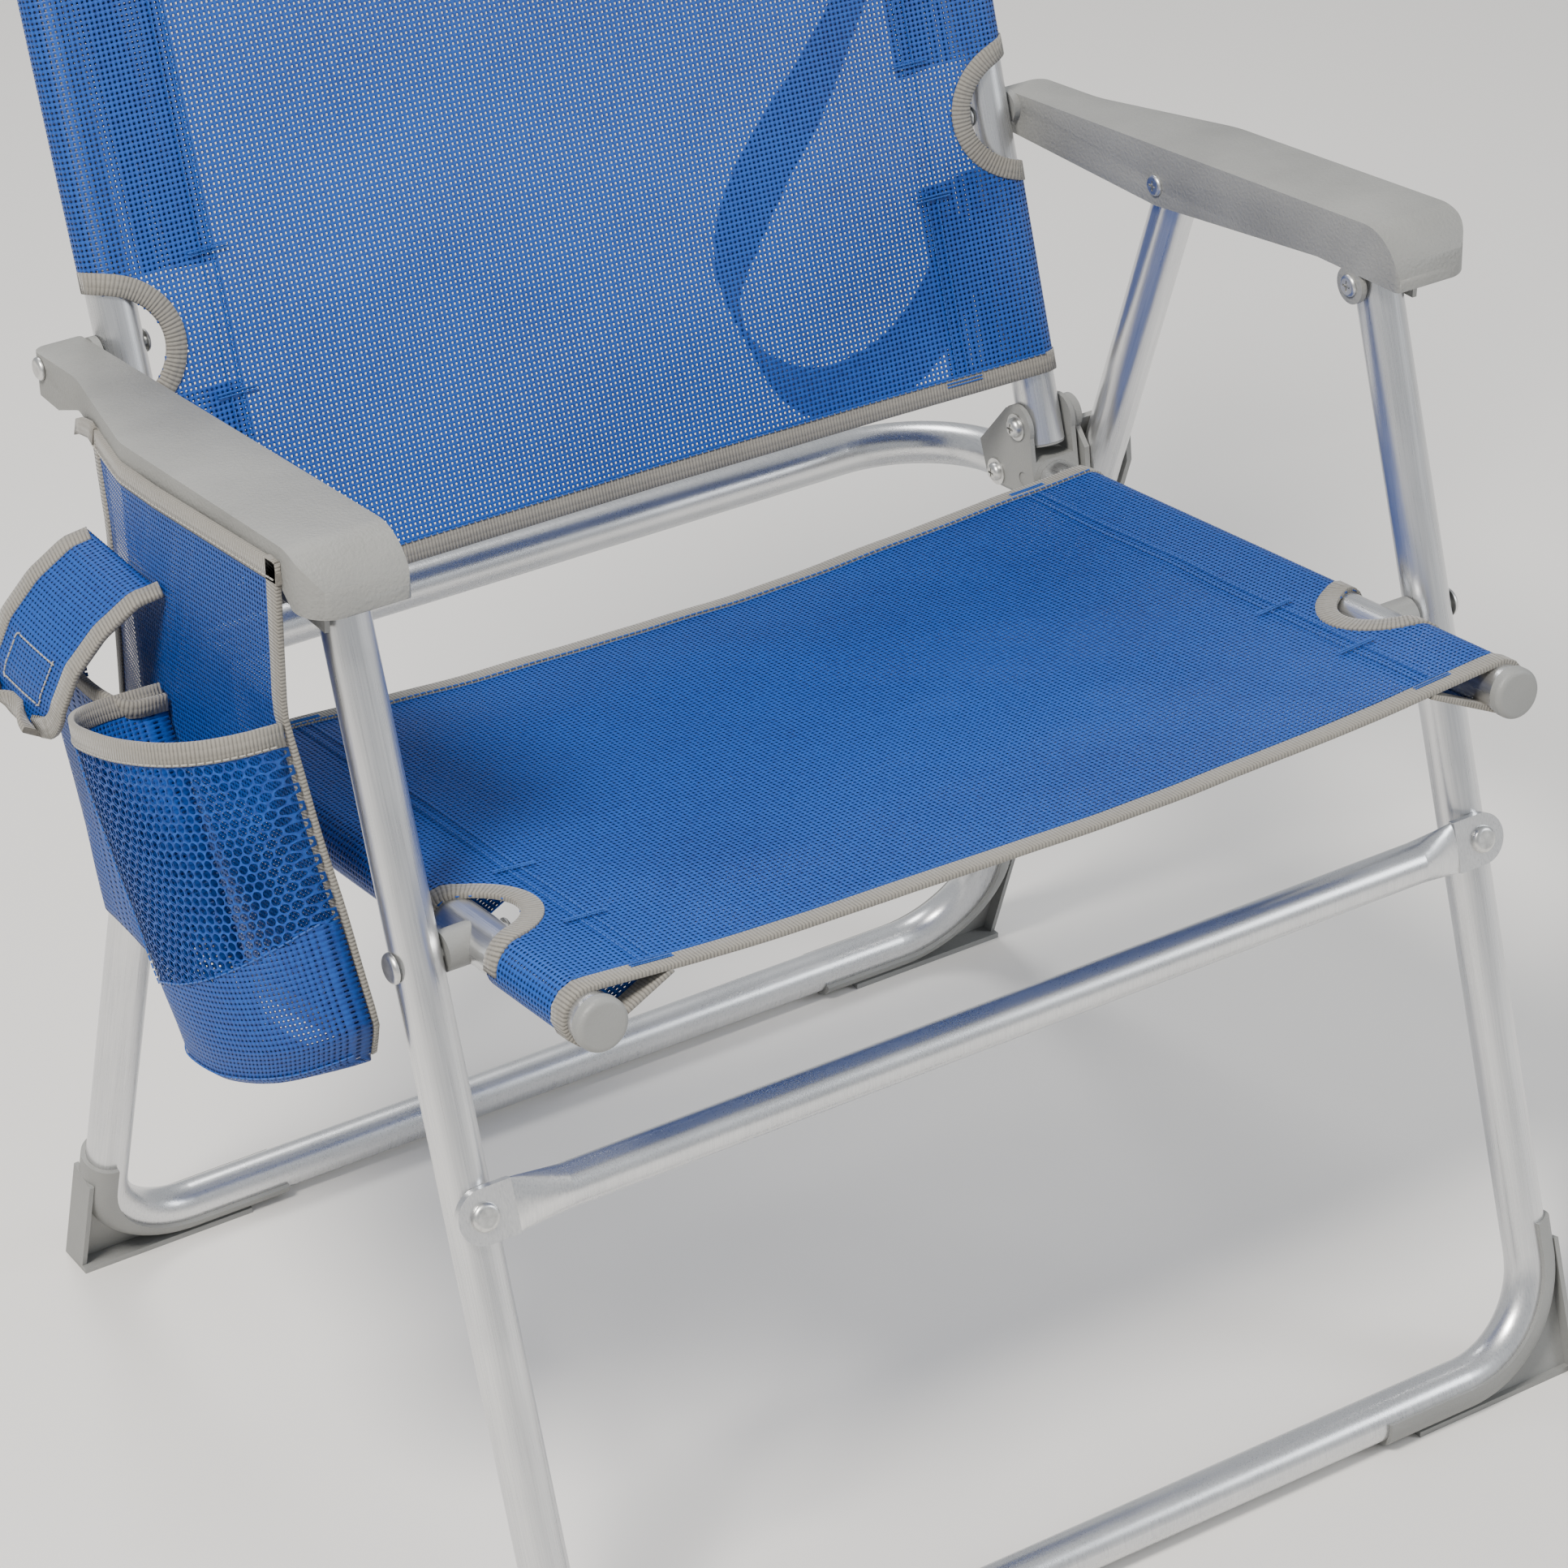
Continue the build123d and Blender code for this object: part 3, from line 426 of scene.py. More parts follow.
# ---- Armrests -----------------------------------------------------------------------------------
# Each armrest is one grey moulding, a channel with rounded edges and a leathery grain. The CAD
# part's edges are softened here by a small bevel.
arm_moulding = moulded("armrest_moulding", (0.185, 0.185, 0.176), (0.240, 0.240, 0.228), 620, 0.0007, 0.54)
same_place = 0.00002
nearly_flat = math.radians(1.5)
for side in ("left", "right"):
    mesh = frame["nodes"][f"armrest_{side}"].data.copy()
    soft = bmesh.new()
    soft.from_mesh(mesh)
    bmesh.ops.remove_doubles(soft, verts=soft.verts, dist=same_place)
    bmesh.ops.dissolve_limit(soft, angle_limit=nearly_flat, verts=soft.verts, edges=soft.edges)
    soft.to_mesh(mesh)
    soft.free()
    mesh.materials.clear()
    mesh.materials.append(arm_moulding)
    arm = bpy.data.objects.new(f"armrest_{side}_moulding", mesh)
    bpy.context.collection.objects.link(arm)
    rounding = arm.modifiers.new("rounding", "BEVEL")
    rounding.width = 0.0016
    rounding.segments = 3
    rounding.limit_method = "ANGLE"
    rounding.angle_limit = math.radians(38)
    rounding.harden_normals = True
    mesh.polygons.foreach_set("use_smooth", [True] * len(mesh.polygons))
    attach(arm, f"armrest_{side}_body")
    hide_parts(f"armrest_{side}")


# ---- Seat and back slings -----------------------------------------------------------------------
# Each sling is one piece of open woven, coated blue mesh. Its long sides wrap round the tubes and
# are sewn down as double hems. Openings in the sleeves leave room for the pivots.
def woven_mesh(name, low, high, pitch, hole):
    """Coated yarn in a plain weave with a small square hole at every crossing."""
    mat, nodes, links, shader = new_finish(name)
    u, v = flat_cloth(nodes, links)
    a = wave(nodes, links, u, pitch)
    b = wave(nodes, links, v, pitch)
    open_u = maths(nodes, links, "LESS_THAN", a, hole)
    open_v = maths(nodes, links, "LESS_THAN", b, hole)
    gap = maths(nodes, links, "MULTIPLY", open_u, open_v)
    links.new(maths(nodes, links, "SUBTRACT", 1.0, gap), shader.inputs["Alpha"])
    height = maths(nodes, links, "MAXIMUM", a, b)
    # Painted shade: each yarn is painted lighter at its raised crossings and darker towards the holes between
    # them.
    crossing = maths(nodes, links, "MULTIPLY", a, b)
    fuzz = grain(nodes, links, 420, 3)
    clouds = grain(nodes, links, 9, 4)
    fuzz_and_painted_shade = maths(nodes, links, "MULTIPLY_ADD", crossing, 0.35)
    links.new(maths(nodes, links, "MULTIPLY", fuzz, 0.55), fuzz_and_painted_shade.node.inputs[2])
    shade2 = maths(nodes, links, "MULTIPLY_ADD", clouds, 0.35)
    links.new(maths(nodes, links, "MULTIPLY", fuzz_and_painted_shade, 0.9), shade2.node.inputs[2])
    links.new(between(nodes, links, shade2, low, high), shader.inputs["Base Color"])
    links.new(span(nodes, links, fuzz, 0.42, 0.62), shader.inputs["Roughness"])
    emboss(nodes, links, shader, height, 0.0006, 0.8)
    return mat


blue_mesh = woven_mesh("blue_woven_mesh", (0.0, 0.020, 0.150), (0.0, 0.066, 0.34), 0.0025, 0.64)
grey_tape = webbing("grey_ribbed_tape", (0.105, 0.098, 0.086), (0.225, 0.210, 0.182), 0.0017, 0.0035)
tube_off = 0.012        # from a tube's axis to the cloth
half_seat = 0.237       # from the middle to a tube's axis
tuck = 0.95             # share of its width that a hem reaches in under the cloth
nudge = 0.0004          # step along the cloth that its slope is taken over
tape_thick = 0.0026
tape_past = 0.0007      # how far a tape stands out past the edge it binds


def sling_skin(origin, along, out, sag, hem, puckers):
    """The cloth's middle surface as a function of its place on the flat cloth."""
    wrap = math.pi * tube_off

    def dip(x):
        return sag * (1 - (x / half_seat) ** 2)

    def skin(w, s):
        side = 1 if w >= 0 else -1
        a = abs(w)
        if a <= half_seat:
            x, off = a, tube_off - dip(a)
            free = min(1.0, (half_seat - a) / 0.05)
            off += free * puckers * noise.noise(Vector((w * 9, s * 16, sag * 900)))
            off += free * 0.35 * puckers * noise.noise(Vector((w * 30, s * 34, 7.7)))
        elif a <= half_seat + wrap:
            t = (a - half_seat) / tube_off
            x, off = half_seat + tube_off * math.sin(t), tube_off * math.cos(t)
        else:
            t = (a - half_seat - wrap) / hem
            inner = half_seat - hem * tuck
            x = half_seat + (inner - half_seat) * t
            off = -tube_off + (tube_off + tube_off - dip(inner) - 0.0018) * t
        return origin + Vector((side * x, 0, 0)) + along * s + out * off
    return skin


def steps(stops, size):
    """Places from stop to stop, about size apart, with every stop among them."""
    places = [stops[0]]
    for a, b in zip(stops, stops[1:]):
        n = max(1, round((b - a) / size))
        places += [a + (b - a) * (k + 1) / n for k in range(n)]
    return places


def lay_cloth(name, skin, columns, rows, mats, keep=None, pick=None):
    """A grid of cloth laid on a surface; keep says which cells stay, pick which material they have."""
    verts = [skin(w, s) for s in rows for w in columns]
    faces, uvs, kinds = [], [], []
    m = len(columns)
    for i in range(len(rows) - 1):
        for j in range(m - 1):
            w, s = (columns[j] + columns[j + 1]) / 2, (rows[i] + rows[i + 1]) / 2
            if keep and not keep(w, s):
                continue
            faces.append((i * m + j, i * m + j + 1, (i + 1) * m + j + 1, (i + 1) * m + j))
            uvs.append(((columns[j], rows[i]), (columns[j + 1], rows[i]),
                        (columns[j + 1], rows[i + 1]), (columns[j], rows[i + 1])))
            kinds.append(pick(w, s) if pick else 0)
    obj = new_piece(name, verts, faces, uvs, mats[0])
    for mat in mats[1:]:
        obj.data.materials.append(mat)
    obj.data.polygons.foreach_set("material_index", kinds)
    loose = bmesh.new()
    loose.from_mesh(obj.data)
    bmesh.ops.delete(loose, geom=[v for v in loose.verts if not v.link_faces], context="VERTS")
    loose.to_mesh(obj.data)
    loose.free()
    return obj


def thicken(obj, thick):
    """Gives a cloth its thickness, half to each side."""
    wall = obj.modifiers.new("thickness", "SOLIDIFY")
    wall.thickness = thick
    wall.offset = 0
    wall.use_even_offset = True
    made = bpy.data.meshes.new_from_object(obj.evaluated_get(bpy.context.evaluated_depsgraph_get()))
    obj.modifiers.clear()
    obj.data = made


def edge_tape(name, skin, spots, inward, width, step=0.006):
    """Tape folded over a cloth's edge; spots are the edge on the flat cloth, inward points into it."""
    path, wide, normals = [], [], []
    flat = []
    for (w0, s0), (w1, s1) in zip(spots, spots[1:]):
        n = max(1, round(math.hypot(w1 - w0, s1 - s0) / step))
        flat += [(w0 + (w1 - w0) * k / n, s0 + (s1 - s0) * k / n) for k in range(n)]
    flat.append(spots[-1])
    ways = inward if isinstance(inward, list) else [inward] * len(flat)
    for (w, s), way in zip(flat, ways):
        p = skin(w, s)
        across = (skin(w + nudge, s) - skin(w - nudge, s)).normalized()
        down = (skin(w, s + nudge) - skin(w, s - nudge)).normalized()
        path.append(p)
        inside = (across * way[0] + down * way[1]).normalized()
        wide.append(inside)
        normals.append(across.cross(down).normalized())
    return ribbon(name, path, wide, normals, width, tape_thick, grey_tape, sink=width / 2 - tape_past)


def stitch_tree():
    """Stitches along a line: pitch, length and thickness in metres, with the thread's material."""
    tree = bpy.data.node_groups.new("stitch_row", "GeometryNodeTree")
    face = tree.interface
    face.new_socket("Line", in_out="INPUT", socket_type="NodeSocketGeometry")
    for label, value in (("Pitch", 0.0032), ("Stitch length", 0.0024), ("Thread thickness", 0.0008)):
        socket = face.new_socket(label, in_out="INPUT", socket_type="NodeSocketFloat")
        socket.default_value = value
    face.new_socket("Thread", in_out="INPUT", socket_type="NodeSocketMaterial")
    face.new_socket("Stitches", in_out="OUTPUT", socket_type="NodeSocketGeometry")
    add, link = tree.nodes.new, tree.links.new
    source, end = add("NodeGroupInput"), add("NodeGroupOutput")
    curve = add("GeometryNodeMeshToCurve")
    spaced = add("GeometryNodeResampleCurve")
    spaced.mode = "LENGTH"
    link(source.outputs["Line"], curve.inputs["Mesh"])
    link(curve.outputs["Curve"], spaced.inputs["Curve"])
    link(source.outputs["Pitch"], spaced.inputs["Length"])
    thread = add("GeometryNodeMeshCylinder")
    thread.inputs["Vertices"].default_value = 6
    link(source.outputs["Stitch length"], thread.inputs["Depth"])
    halved = add("ShaderNodeMath")
    halved.operation = "MULTIPLY"
    halved.inputs[1].default_value = 0.5
    link(source.outputs["Thread thickness"], halved.inputs[0])
    link(halved.outputs[0], thread.inputs["Radius"])
    tangent = add("GeometryNodeInputTangent")
    turn = add("FunctionNodeAlignRotationToVector")
    turn.axis = "Z"
    link(tangent.outputs[0], turn.inputs["Vector"])
    laid = add("GeometryNodeInstanceOnPoints")
    link(spaced.outputs["Curve"], laid.inputs["Points"])
    link(thread.outputs["Mesh"], laid.inputs["Instance"])
    link(turn.outputs["Rotation"], laid.inputs["Rotation"])
    real = add("GeometryNodeRealizeInstances")
    link(laid.outputs["Instances"], real.inputs["Geometry"])
    made = add("GeometryNodeSetMaterial")
    link(real.outputs["Geometry"], made.inputs["Geometry"])
    link(source.outputs["Thread"], made.inputs["Material"])
    link(made.outputs["Geometry"], end.inputs["Stitches"])
    return tree


stitch_row = stitch_tree()


def thread_finish(name, colour):
    """Twisted sewing thread."""
    mat, nodes, links, shader = new_finish(name)
    twist = grain(nodes, links, 1800, 2)
    shaded = tuple(c * 0.75 for c in colour)
    links.new(between(nodes, links, twist, shaded, colour), shader.inputs["Base Color"])
    shader.inputs["Roughness"].default_value = 0.6
    shader.inputs["Sheen Weight"].default_value = 0.2
    emboss(nodes, links, shader, twist, 0.0001, 0.6)
    return mat


blue_thread = thread_finish("blue_thread", (0.0, 0.075, 0.36))
grey_thread = thread_finish("grey_thread", (0.36, 0.345, 0.31))


def sew(name, lines, thread, body, pitch=0.0034, length=0.0025, thick=0.0008):
    """Sews rows of stitches along lines of points, as one piece on one body."""
    verts, edges = [], []
    for row in lines:
        start = len(verts)
        verts += [tuple(p) for p in row]
        edges += [(start + k, start + k + 1) for k in range(len(row) - 1)]
    mesh = bpy.data.meshes.new(name)
    mesh.from_pydata(verts, edges, [])
    obj = bpy.data.objects.new(name, mesh)
    bpy.context.collection.objects.link(obj)
    sewing = obj.modifiers.new("stitches", "NODES")
    sewing.node_group = stitch_row
    inputs = {s.name: s.identifier for s in stitch_row.interface.items_tree if s.in_out == "INPUT"}
    sewing[inputs["Pitch"]] = pitch
    sewing[inputs["Stitch length"]] = length
    sewing[inputs["Thread thickness"]] = thick
    sewing[inputs["Thread"]] = thread
    made = bpy.data.meshes.new_from_object(obj.evaluated_get(bpy.context.evaluated_depsgraph_get()))
    obj.modifiers.clear()
    obj.data = made
    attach(obj, body)


def on_cloth(skin, spots, lift, step=0.006):
    """A line of points on a cloth's face, lifted off it by lift."""
    row = []
    for (w0, s0), (w1, s1) in zip(spots, spots[1:]):
        n = max(1, round(math.hypot(w1 - w0, s1 - s0) / step))
        flat = [(w0 + (w1 - w0) * k / n, s0 + (s1 - s0) * k / n) for k in range(n + 1)]
        for w, s in flat:
            across = skin(w + nudge, s) - skin(w - nudge, s)
            down = skin(w, s + nudge) - skin(w, s - nudge)
            row.append(skin(w, s) + across.cross(down).normalized() * lift)
    return row


def make_sling(label, body, origin, along, out, ends, opening, sag, hem, puckers):
    """A sling with its tapes and stitches; ends and opening are places along it, from origin."""
    wrap = math.pi * tube_off
    full = half_seat + wrap + hem
    skin = sling_skin(origin, along, out, sag, hem, puckers)
    middle, half_open = (opening[0] + opening[1]) / 2, (opening[1] - opening[0]) / 2
    outer, deep = half_seat + 0.019, 0.037
    stops = [0, half_seat - hem]
    right_side = steps(stops, 0.009) + steps([half_seat - hem, half_seat - 0.03], 0.008)[1:]
    right_side += steps([half_seat - 0.03, half_seat, outer, half_seat + wrap], 0.0026)[1:]
    right_side += steps([half_seat + wrap, full], 0.008)[1:]
    columns = [-w for w in reversed(right_side[1:])] + right_side
    rows = steps([ends[0], opening[0]], 0.009) + steps([opening[0], middle, opening[1]], 0.0026)[1:]
    rows += steps([opening[1], ends[1]], 0.009)[1:]

    def keep(w, s):
        if not opening[0] < s < opening[1]:
            return True
        return abs(w) < outer - deep * math.sqrt(1 - ((s - middle) / half_open) ** 2)

    cloth = lay_cloth(f"{label}_sling_cloth", skin, columns, rows, [blue_mesh], keep)
    thicken(cloth, 0.0006)
    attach(cloth, body)
    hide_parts(f"{label}_sling")
    tapes = []
    for n, (s, way) in enumerate(((ends[0], 1), (ends[1], -1))):
        tapes.append(edge_tape(f"{label}_end_tape_{n + 1}", skin, [(-full, s), (full, s)], (0, way), 0.010))
    for side in (-1, 1):
        mark = "left" if side > 0 else "right"
        turns = [math.pi * k / 30 for k in range(31)]
        spots = [(side * (outer - deep * math.sin(t)), middle - half_open * math.cos(t)) for t in turns]
        away = [(-side * math.sin(t) * 0.9, -math.cos(t)) for t in turns]
        tapes.append(edge_tape(f"{label}_opening_tape_{mark}", skin, spots, away, 0.010, step=1.0))
    for piece in tapes:
        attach(piece, body)
    rows_sewn = []
    facing = 1 if (skin(0.001, 0.1) - skin(0, 0.1)).cross(skin(0, 0.101) - skin(0, 0.1)).dot(out) > 0 else -1
    for side in (-1, 1):
        for inset in (0.003, 0.009):
            x = side * (half_seat - hem * tuck + inset)
            rows_sewn.append(on_cloth(skin, [(x, ends[0] + 0.012), (x, ends[1] - 0.012)], facing * 0.0009))
    for s in (ends[0] + 0.0095, ends[1] - 0.0095):
        rows_sewn.append(on_cloth(skin, [(-half_seat, s), (half_seat, s)], facing * 0.0018))
    sew(f"{label}_hem_stitches", rows_sewn, blue_thread, body)
    tacks = []
    for side in (-1, 1):
        for s in (ends[0] + 0.006, opening[0] - 0.005, opening[1] + 0.005, ends[1] - 0.006):
            x = side * (half_seat - hem * tuck + 0.006)
            for beside in (s, s + 0.0016):
                tack = [(x - 0.009, beside), (x + 0.009, beside)]
                tacks.append(on_cloth(skin, tack, facing * 0.0016, step=0.001))
    sew(f"{label}_bar_tacks", tacks, blue_thread, body, pitch=0.0012, length=0.0020, thick=0.0008)


slope = math.radians(5.72)
seat_along = Vector((0, math.cos(slope), -math.sin(slope)))
seat_above = Vector((0, math.sin(slope), math.cos(slope)))
seat_start = spot(0, -375.5, 380.3)
make_sling("seat", "seat", seat_start, seat_along, seat_above, (0.012, 0.336), (0.076, 0.126), 0.009, 0.042,
           0.0016)
make_sling("back", "back", hinge, back_up, -back_rear, (0.026, 0.420), (0.1302, 0.1862), 0.007, 0.055, 0.0014)


# ---- Side bag -----------------------------------------------------------------------------------
# The bag hangs from the sitter's right armrest. A panel of the same blue mesh carries a bottle
# pocket of open net with a closed foot, and a flat pocket with a flap. Grey tape binds the edges.
def along_line(points, t):
    """The point a share t of the way along a line of points."""
    far = [0.0]
    for a, b in zip(points, points[1:]):
        far.append(far[-1] + math.dist(a, b))
    want = t * far[-1]
    for k in range(1, len(far)):
        if want <= far[k] or k == len(far) - 1:
            f = (want - far[k - 1]) / (far[k] - far[k - 1])
            return tuple(a + (b - a) * f for a, b in zip(points[k - 1], points[k]))


def arm_side_x(y):
    """The armrest's outer face, in millimetres from the middle, at a place along it."""
    stops = [(46, 276.5), (-2, 277), (-45, 286.5), (-88, 296), (-125, 297.5), (-270, 297.5)]
    for (y0, x0), (y1, x1) in zip(stops, stops[1:]):
        if y >= y1:
            f = max(0.0, (y0 - y) / (y0 - y1))
            return x0 + (x1 - x0) * f
    return 297.5


def drawn_in(z, w):
    """How far the panel's low front corner is pulled in, in millimetres."""
    return 13 * max(0.0, min(1.0, (480 - z) / 140)) * (1 - w) ** 3


panel_front = [(-238, 549), (-233, 474), (-250, 412), (-271, 345), (-266, 328)]
panel_rear = [(-38, 528), (-50, 486), (-44, 400), (-72, 306)]


def panel_skin(w, s):
    """w runs from the front edge, 0, to the rear edge, 1; s from the top, 0, to the bottom, 1."""
    front, rear = along_line(panel_front, s), along_line(panel_rear, s)
    y = front[0] + (rear[0] - front[0]) * w
    z = front[1] + (rear[1] - front[1]) * w
    low = max(0.0, min(1.0, (500 - z) / 120))
    x = arm_side_x(y) + 1.2 + 1.6 * low * noise.noise(Vector((y / 40, z / 45, 3.1)))
    x -= drawn_in(z, w)
    return spot(-x, y, z)


def cloth_from(name, skin, across, down, size, mats, pick=None):
    """Lays cloth over a surface whose two coordinates run from 0 to 1."""
    columns = [k / across for k in range(across + 1)]
    rows = [k / down for k in range(down + 1)]
    obj = lay_cloth(name, skin, columns, rows, mats, None, pick)
    layer = obj.data.uv_layers["cloth"]
    for loop in layer.data:
        loop.uv = (loop.uv[0] * size[0], loop.uv[1] * size[1])
    thicken(obj, 0.0009)
    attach(obj, "armrest_right_body")
    return obj


small_share = 0.002     # step over the surface that its slope is taken over


def bag_tape(name, skin, spots, inward, width):
    """Grey tape over an edge of the bag; the edge is given on the surface's 0 to 1 coordinates."""
    path, wide, normals = [], [], []
    flat = []
    for (w0, s0), (w1, s1) in zip(spots, spots[1:]):
        flat += [(w0 + (w1 - w0) * k / 28, s0 + (s1 - s0) * k / 28) for k in range(28)]
    flat.append(spots[-1])
    for w, s in flat:
        across = (skin(min(w + small_share, 1), s) - skin(max(w - small_share, 0), s)).normalized()
        down = (skin(w, min(s + small_share, 1)) - skin(w, max(s - small_share, 0))).normalized()
        path.append(skin(w, s))
        wide.append((across * inward[0] + down * inward[1]).normalized())
        normals.append(across.cross(down).normalized())
    ahead = [(path[min(k + 1, len(path) - 1)] - path[max(k - 1, 0)]).normalized() for k in range(len(path))]
    wide = [(w - a * w.dot(a)).normalized() for w, a in zip(wide, ahead)]
    piece = ribbon(name, path, wide, normals, width, tape_thick, grey_tape, sink=width / 2 - tape_past)
    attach(piece, "armrest_right_body")
    return piece


panel = cloth_from("bag_panel_cloth", panel_skin, 34, 40, (0.205, 0.235), [blue_mesh])
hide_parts("bag_panel")
panel_tapes = [
    bag_tape("bag_top_tape", panel_skin, [(0, 0), (1, 0)], (0, 1), 0.010),
    bag_tape("bag_front_tape", panel_skin, [(0, 0), (0, 1)], (1, 0), 0.009),
    bag_tape("bag_rear_tape", panel_skin, [(1, 0), (1, 1)], (-1, 0), 0.009),
    bag_tape("bag_low_tape", panel_skin, [(0, 1), (1, 1)], (0, -1), 0.009),
]


def open_net(name, low, high, pitch, hole):
    """Knitted net with round holes in staggered rows."""
    mat, nodes, links, shader = new_finish(name)
    u, v = flat_cloth(nodes, links)
    tall = pitch * math.sqrt(3)
    near = []
    for shift in (0.0, 0.5):
        parts = []
        for value, size in ((u, pitch), (v, tall)):
            moved = maths(nodes, links, "ADD", value, shift * size)
            wrapped = maths(nodes, links, "FLOORED_MODULO", moved, size)
            centred = maths(nodes, links, "SUBTRACT", wrapped, size / 2)
            parts.append(maths(nodes, links, "MULTIPLY", centred, centred))
        near.append(maths(nodes, links, "SQRT", maths(nodes, links, "ADD", *parts)))
    away = maths(nodes, links, "MINIMUM", *near)
    gap = maths(nodes, links, "LESS_THAN", away, hole)
    links.new(maths(nodes, links, "SUBTRACT", 1.0, gap), shader.inputs["Alpha"])
    fuzz = grain(nodes, links, 600, 3)
    links.new(between(nodes, links, fuzz, low, high), shader.inputs["Base Color"])
    shader.inputs["Roughness"].default_value = 0.6
    emboss(nodes, links, shader, away, 0.0008, 0.7)
    return mat


net_mesh = open_net("blue_net", (0.0, 0.022, 0.16), (0.0, 0.070, 0.34), 0.0048, 0.0021)
plain_mesh = woven_mesh("blue_close_mesh", (0.0, 0.018, 0.14), (0.0, 0.062, 0.32), 0.0025, 0.50)


pocket_face = 301       # millimetres from the middle to the panel's outer face
bottle_wall = 0.84      # share of a pocket's height that is wall; the rest closes under it
phone_wall = 0.88


def loop_of(phi, middle_y, half_y, deep, square_x, square_y, face):
    """A D-shaped loop out from the panel's face."""
    c, s = math.cos(phi), max(0.0, math.sin(phi))
    y = middle_y - half_y * math.copysign(abs(c) ** square_y, c)
    return face + deep * s ** square_x, y


def bottle_skin(w, s):
    """w goes round the pocket from its front edge to its rear edge, s from the rim down."""
    phi = math.pi * w
    wall = min(s / bottle_wall, 1.0)
    front_y, front_z = along_line(panel_front[1:], wall)
    rear_y, rear_z = -115 - 73 * wall, 440 - 122 * wall
    swell = math.sin(math.pi * wall) ** 0.8
    deep = 57 - 12 * wall + 3 * swell
    out, along = loop_of(phi, 0, 0.5, deep, 0.62 - 0.07 * wall, 0.8 + 0.1 * wall, 0)
    near = along + 0.5
    y = front_y + (rear_y - front_y) * near
    z = front_z + (rear_z - front_z) * near + 4 * math.sin(phi) * (1 - 2.2 * wall)
    if s > bottle_wall:
        inwards = (s - bottle_wall) / (1 - bottle_wall)
        out = out * (1 - inwards)
        z -= 2.5 * math.sin(math.pi * inwards / 2)
    face = pocket_face - drawn_in(z, near)
    out += 0.8 * noise.noise(Vector((w * 7, s * 6, 1.4))) * math.sin(phi)
    return spot(-(face + out), y, z)


def net_or_foot(w, s):
    """0 for the open net, 1 for the closed foot and the rear part."""
    return 1 if s > 0.47 + 0.26 * w or w > 0.64 else 0


pocket = cloth_from("bottle_pocket_cloth", bottle_skin, 44, 46, (0.185, 0.19), [net_mesh, plain_mesh],
                    net_or_foot)
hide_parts("bottle_pocket")
pocket_tapes = [
    bag_tape("bottle_rim_tape", bottle_skin, [(0, 0), (1, 0)], (0, 1), 0.010),
]


def phone_skin(w, s):
    """w goes round the flat pocket, s from its rim down and in under it."""
    phi = math.pi * w
    wall = min(s / phone_wall, 1.0)
    half = 45 - 15 * wall
    x, y = loop_of(phi, -77 - 17 * wall, half, 25 - 8 * wall, 0.30, 0.55, pocket_face)
    z = 438 + 4 * math.sin(phi) - (438 - 306) * wall
    if s > phone_wall:
        inwards = (s - phone_wall) / (1 - phone_wall)
        x = x + (pocket_face - x) * inwards
        z -= 3 * math.sin(math.pi * inwards / 2)
    x += 1.3 * noise.noise(Vector((w * 5, s * 4, 8.4))) * math.sin(phi)
    return spot(-x, y, z)


phone = cloth_from("phone_pocket_cloth", phone_skin, 36, 30, (0.135, 0.145), [plain_mesh])
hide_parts("phone_pocket")
phone_tapes = [bag_tape("phone_rim_tape", phone_skin, [(0, 0), (1, 0)], (0, 1), 0.008)]

round_from = 0.80
flap_profile = [(300.5, 489), (311, 486), (326, 473), (338, 456), (344, 438), (346, 418)]


def flap_skin(w, s):
    """w runs across the flap and s from its seam to its rounded end."""
    x, z = along_line(flap_profile, s)
    middle = -91 + 22 * s
    half = 37.0
    if s > round_from:
        turned = (s - round_from) / 0.20
        half = 37 - 17 * (1 - math.sqrt(max(0.0, 1 - turned ** 2)))
    y = middle + (2 * w - 1) * half
    x += 1.6 * math.sin(math.pi * w) * s
    return spot(-x, y, z)


flap = cloth_from("phone_flap_cloth", flap_skin, 16, 28, (0.07, 0.098), [plain_mesh])
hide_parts("phone_flap")
flap_tapes = [
    bag_tape("flap_front_tape", flap_skin, [(0, 0), (0, 1)], (1, 0), 0.010),
    bag_tape("flap_rear_tape", flap_skin, [(1, 0), (1, 1)], (-1, 0), 0.010),
    bag_tape("flap_low_tape", flap_skin, [(0, 1), (1, 1)], (0, -1), 0.011),
]


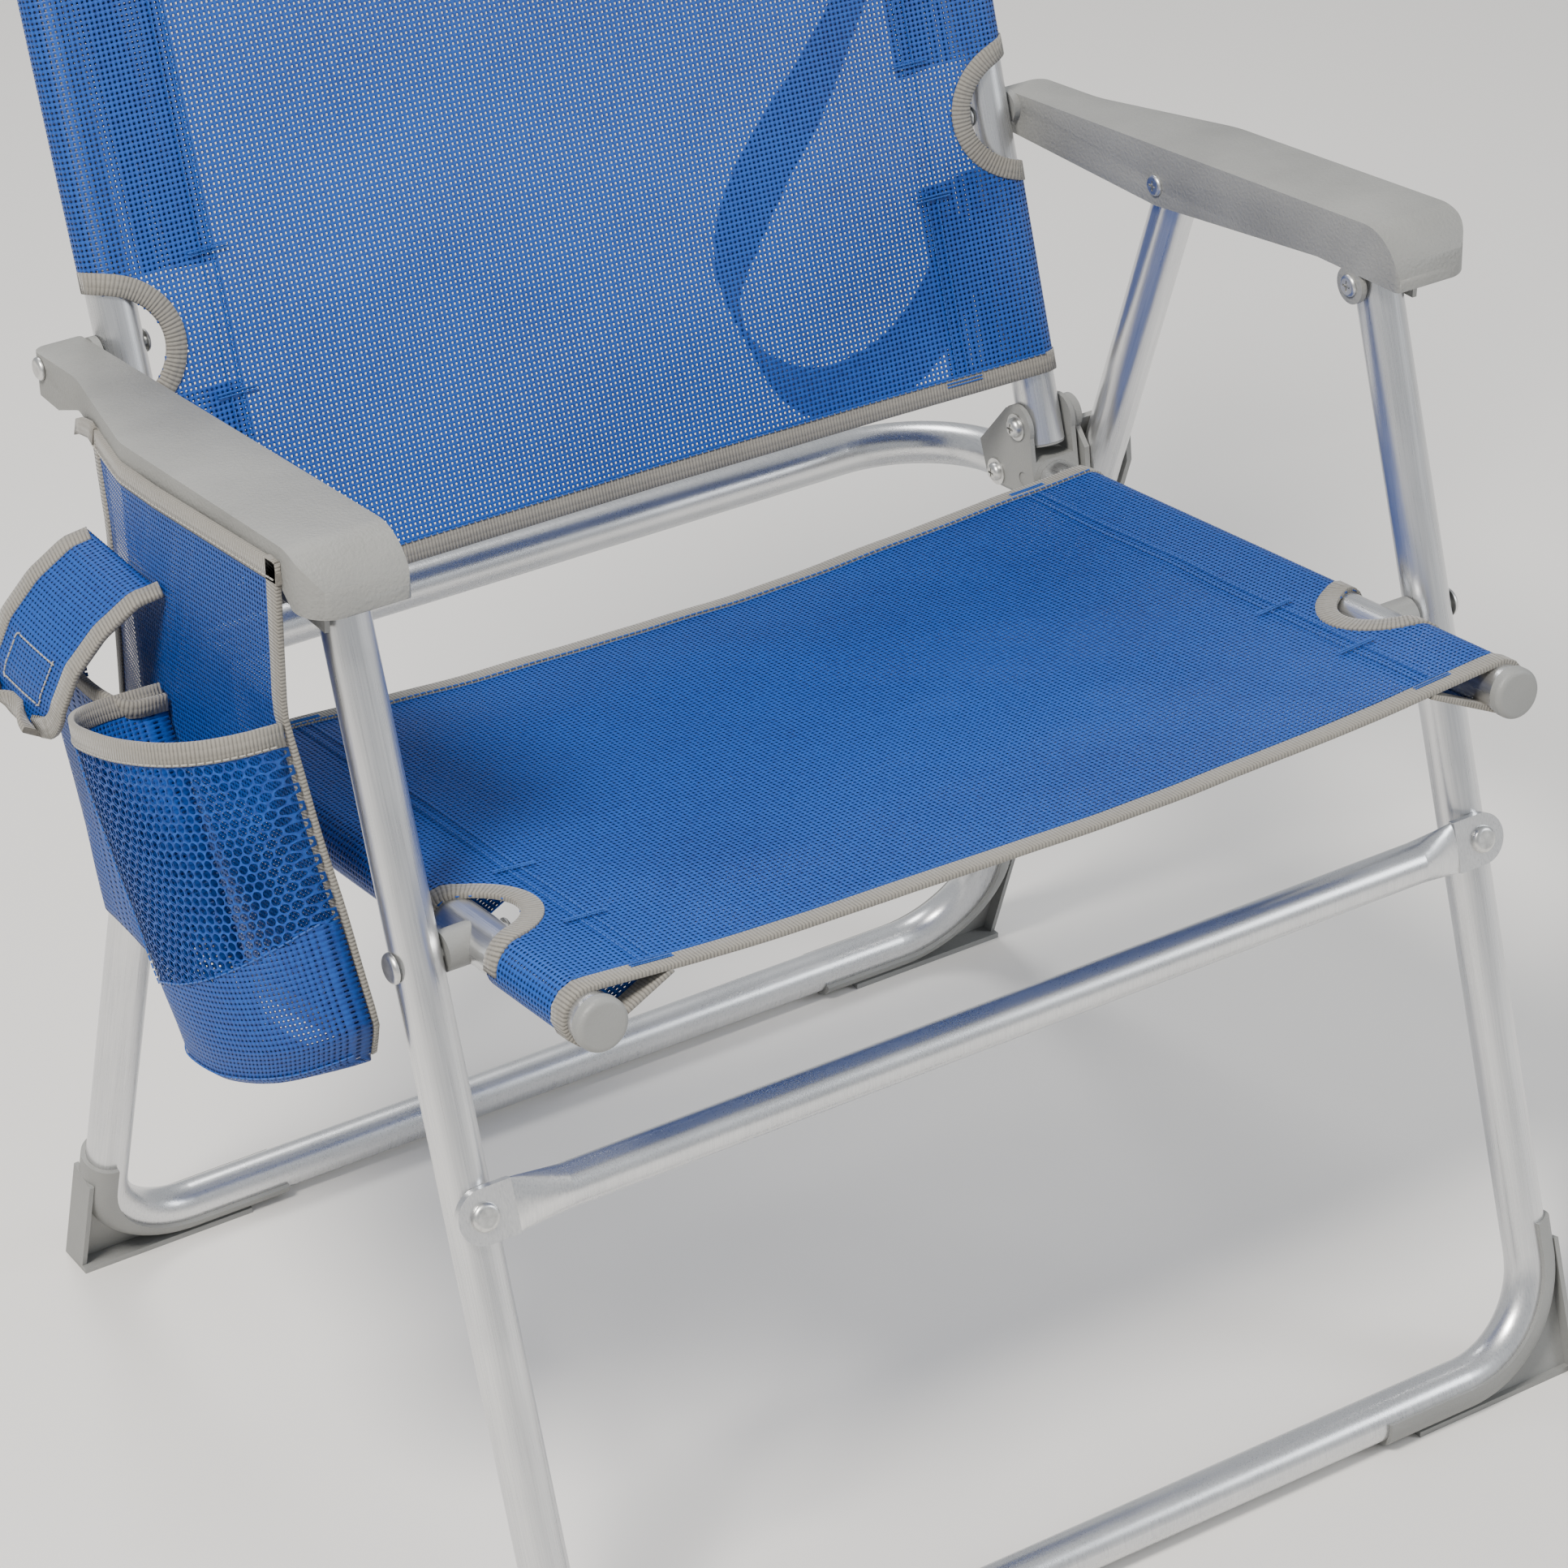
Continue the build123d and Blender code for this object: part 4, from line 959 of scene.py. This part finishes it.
def sewn_on(skin, spots, lift, n=24):
    """A line of points on a bag surface, lifted off it; the spots are shares from 0 to 1."""
    row = []
    for (w0, s0), (w1, s1) in zip(spots, spots[1:]):
        for k in range(n + 1):
            w, s = w0 + (w1 - w0) * k / n, s0 + (s1 - s0) * k / n
            across = skin(min(w + small_share, 1), s) - skin(max(w - small_share, 0), s)
            down = skin(w, min(s + small_share, 1)) - skin(w, max(s - small_share, 0))
            row.append(skin(w, s) + across.cross(down).normalized() * lift)
    return row


def outward_of(skin):
    """1 or -1, so that a lift goes away from the chair."""
    a = skin(0.52, 0.5) - skin(0.5, 0.5)
    b = skin(0.5, 0.52) - skin(0.5, 0.5)
    return 1 if a.cross(b).x < 0 else -1


square = [(0.26, 0.60), (0.74, 0.60), (0.74, 0.84), (0.26, 0.84), (0.26, 0.60)]
sew("bag_grey_stitches", [
    sewn_on(flap_skin, square, outward_of(flap_skin) * 0.0009),
    sewn_on(panel_skin, [(0.01, 0.032), (0.99, 0.032)], outward_of(panel_skin) * 0.0018),
    sewn_on(bottle_skin, [(0.01, 0.045), (0.99, 0.045)], outward_of(bottle_skin) * 0.0018),
], grey_thread, "armrest_right_body")
net_edge = [(0.02, 0.475), (0.64, 0.636)]
sew("bag_blue_stitches", [
    sewn_on(bottle_skin, net_edge, outward_of(bottle_skin) * 0.0009, n=60),
    sewn_on(bottle_skin, [(0.64, 0.05), (0.64, 0.636)], outward_of(bottle_skin) * 0.0009, n=60),
    sewn_on(bottle_skin, [(0.02, 0.82), (0.98, 0.82)], outward_of(bottle_skin) * 0.0009, n=60),
], blue_thread, "armrest_right_body")
tab_path = [spot(-288.5, -44, 526), spot(-286, -34, 525), spot(-284.3, -25, 522), spot(-283, -17, 519.5),
            spot(-282, -10, 516)]
tab = ribbon("bag_rear_tab", tab_path, [Vector((0, -0.35, 0.94))] * 5, [Vector((-0.97, 0.2, 0))] * 5, 0.010,
             0.0018, grey_tape)
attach(tab, "armrest_right_body")


# ---- Bounding boxes -----------------------------------------------------------------------------
# The box of the finished chair is worked out beside the CAD box.
[[list(map(float, corner)) for corner in box] for box in (cad_box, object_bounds())]
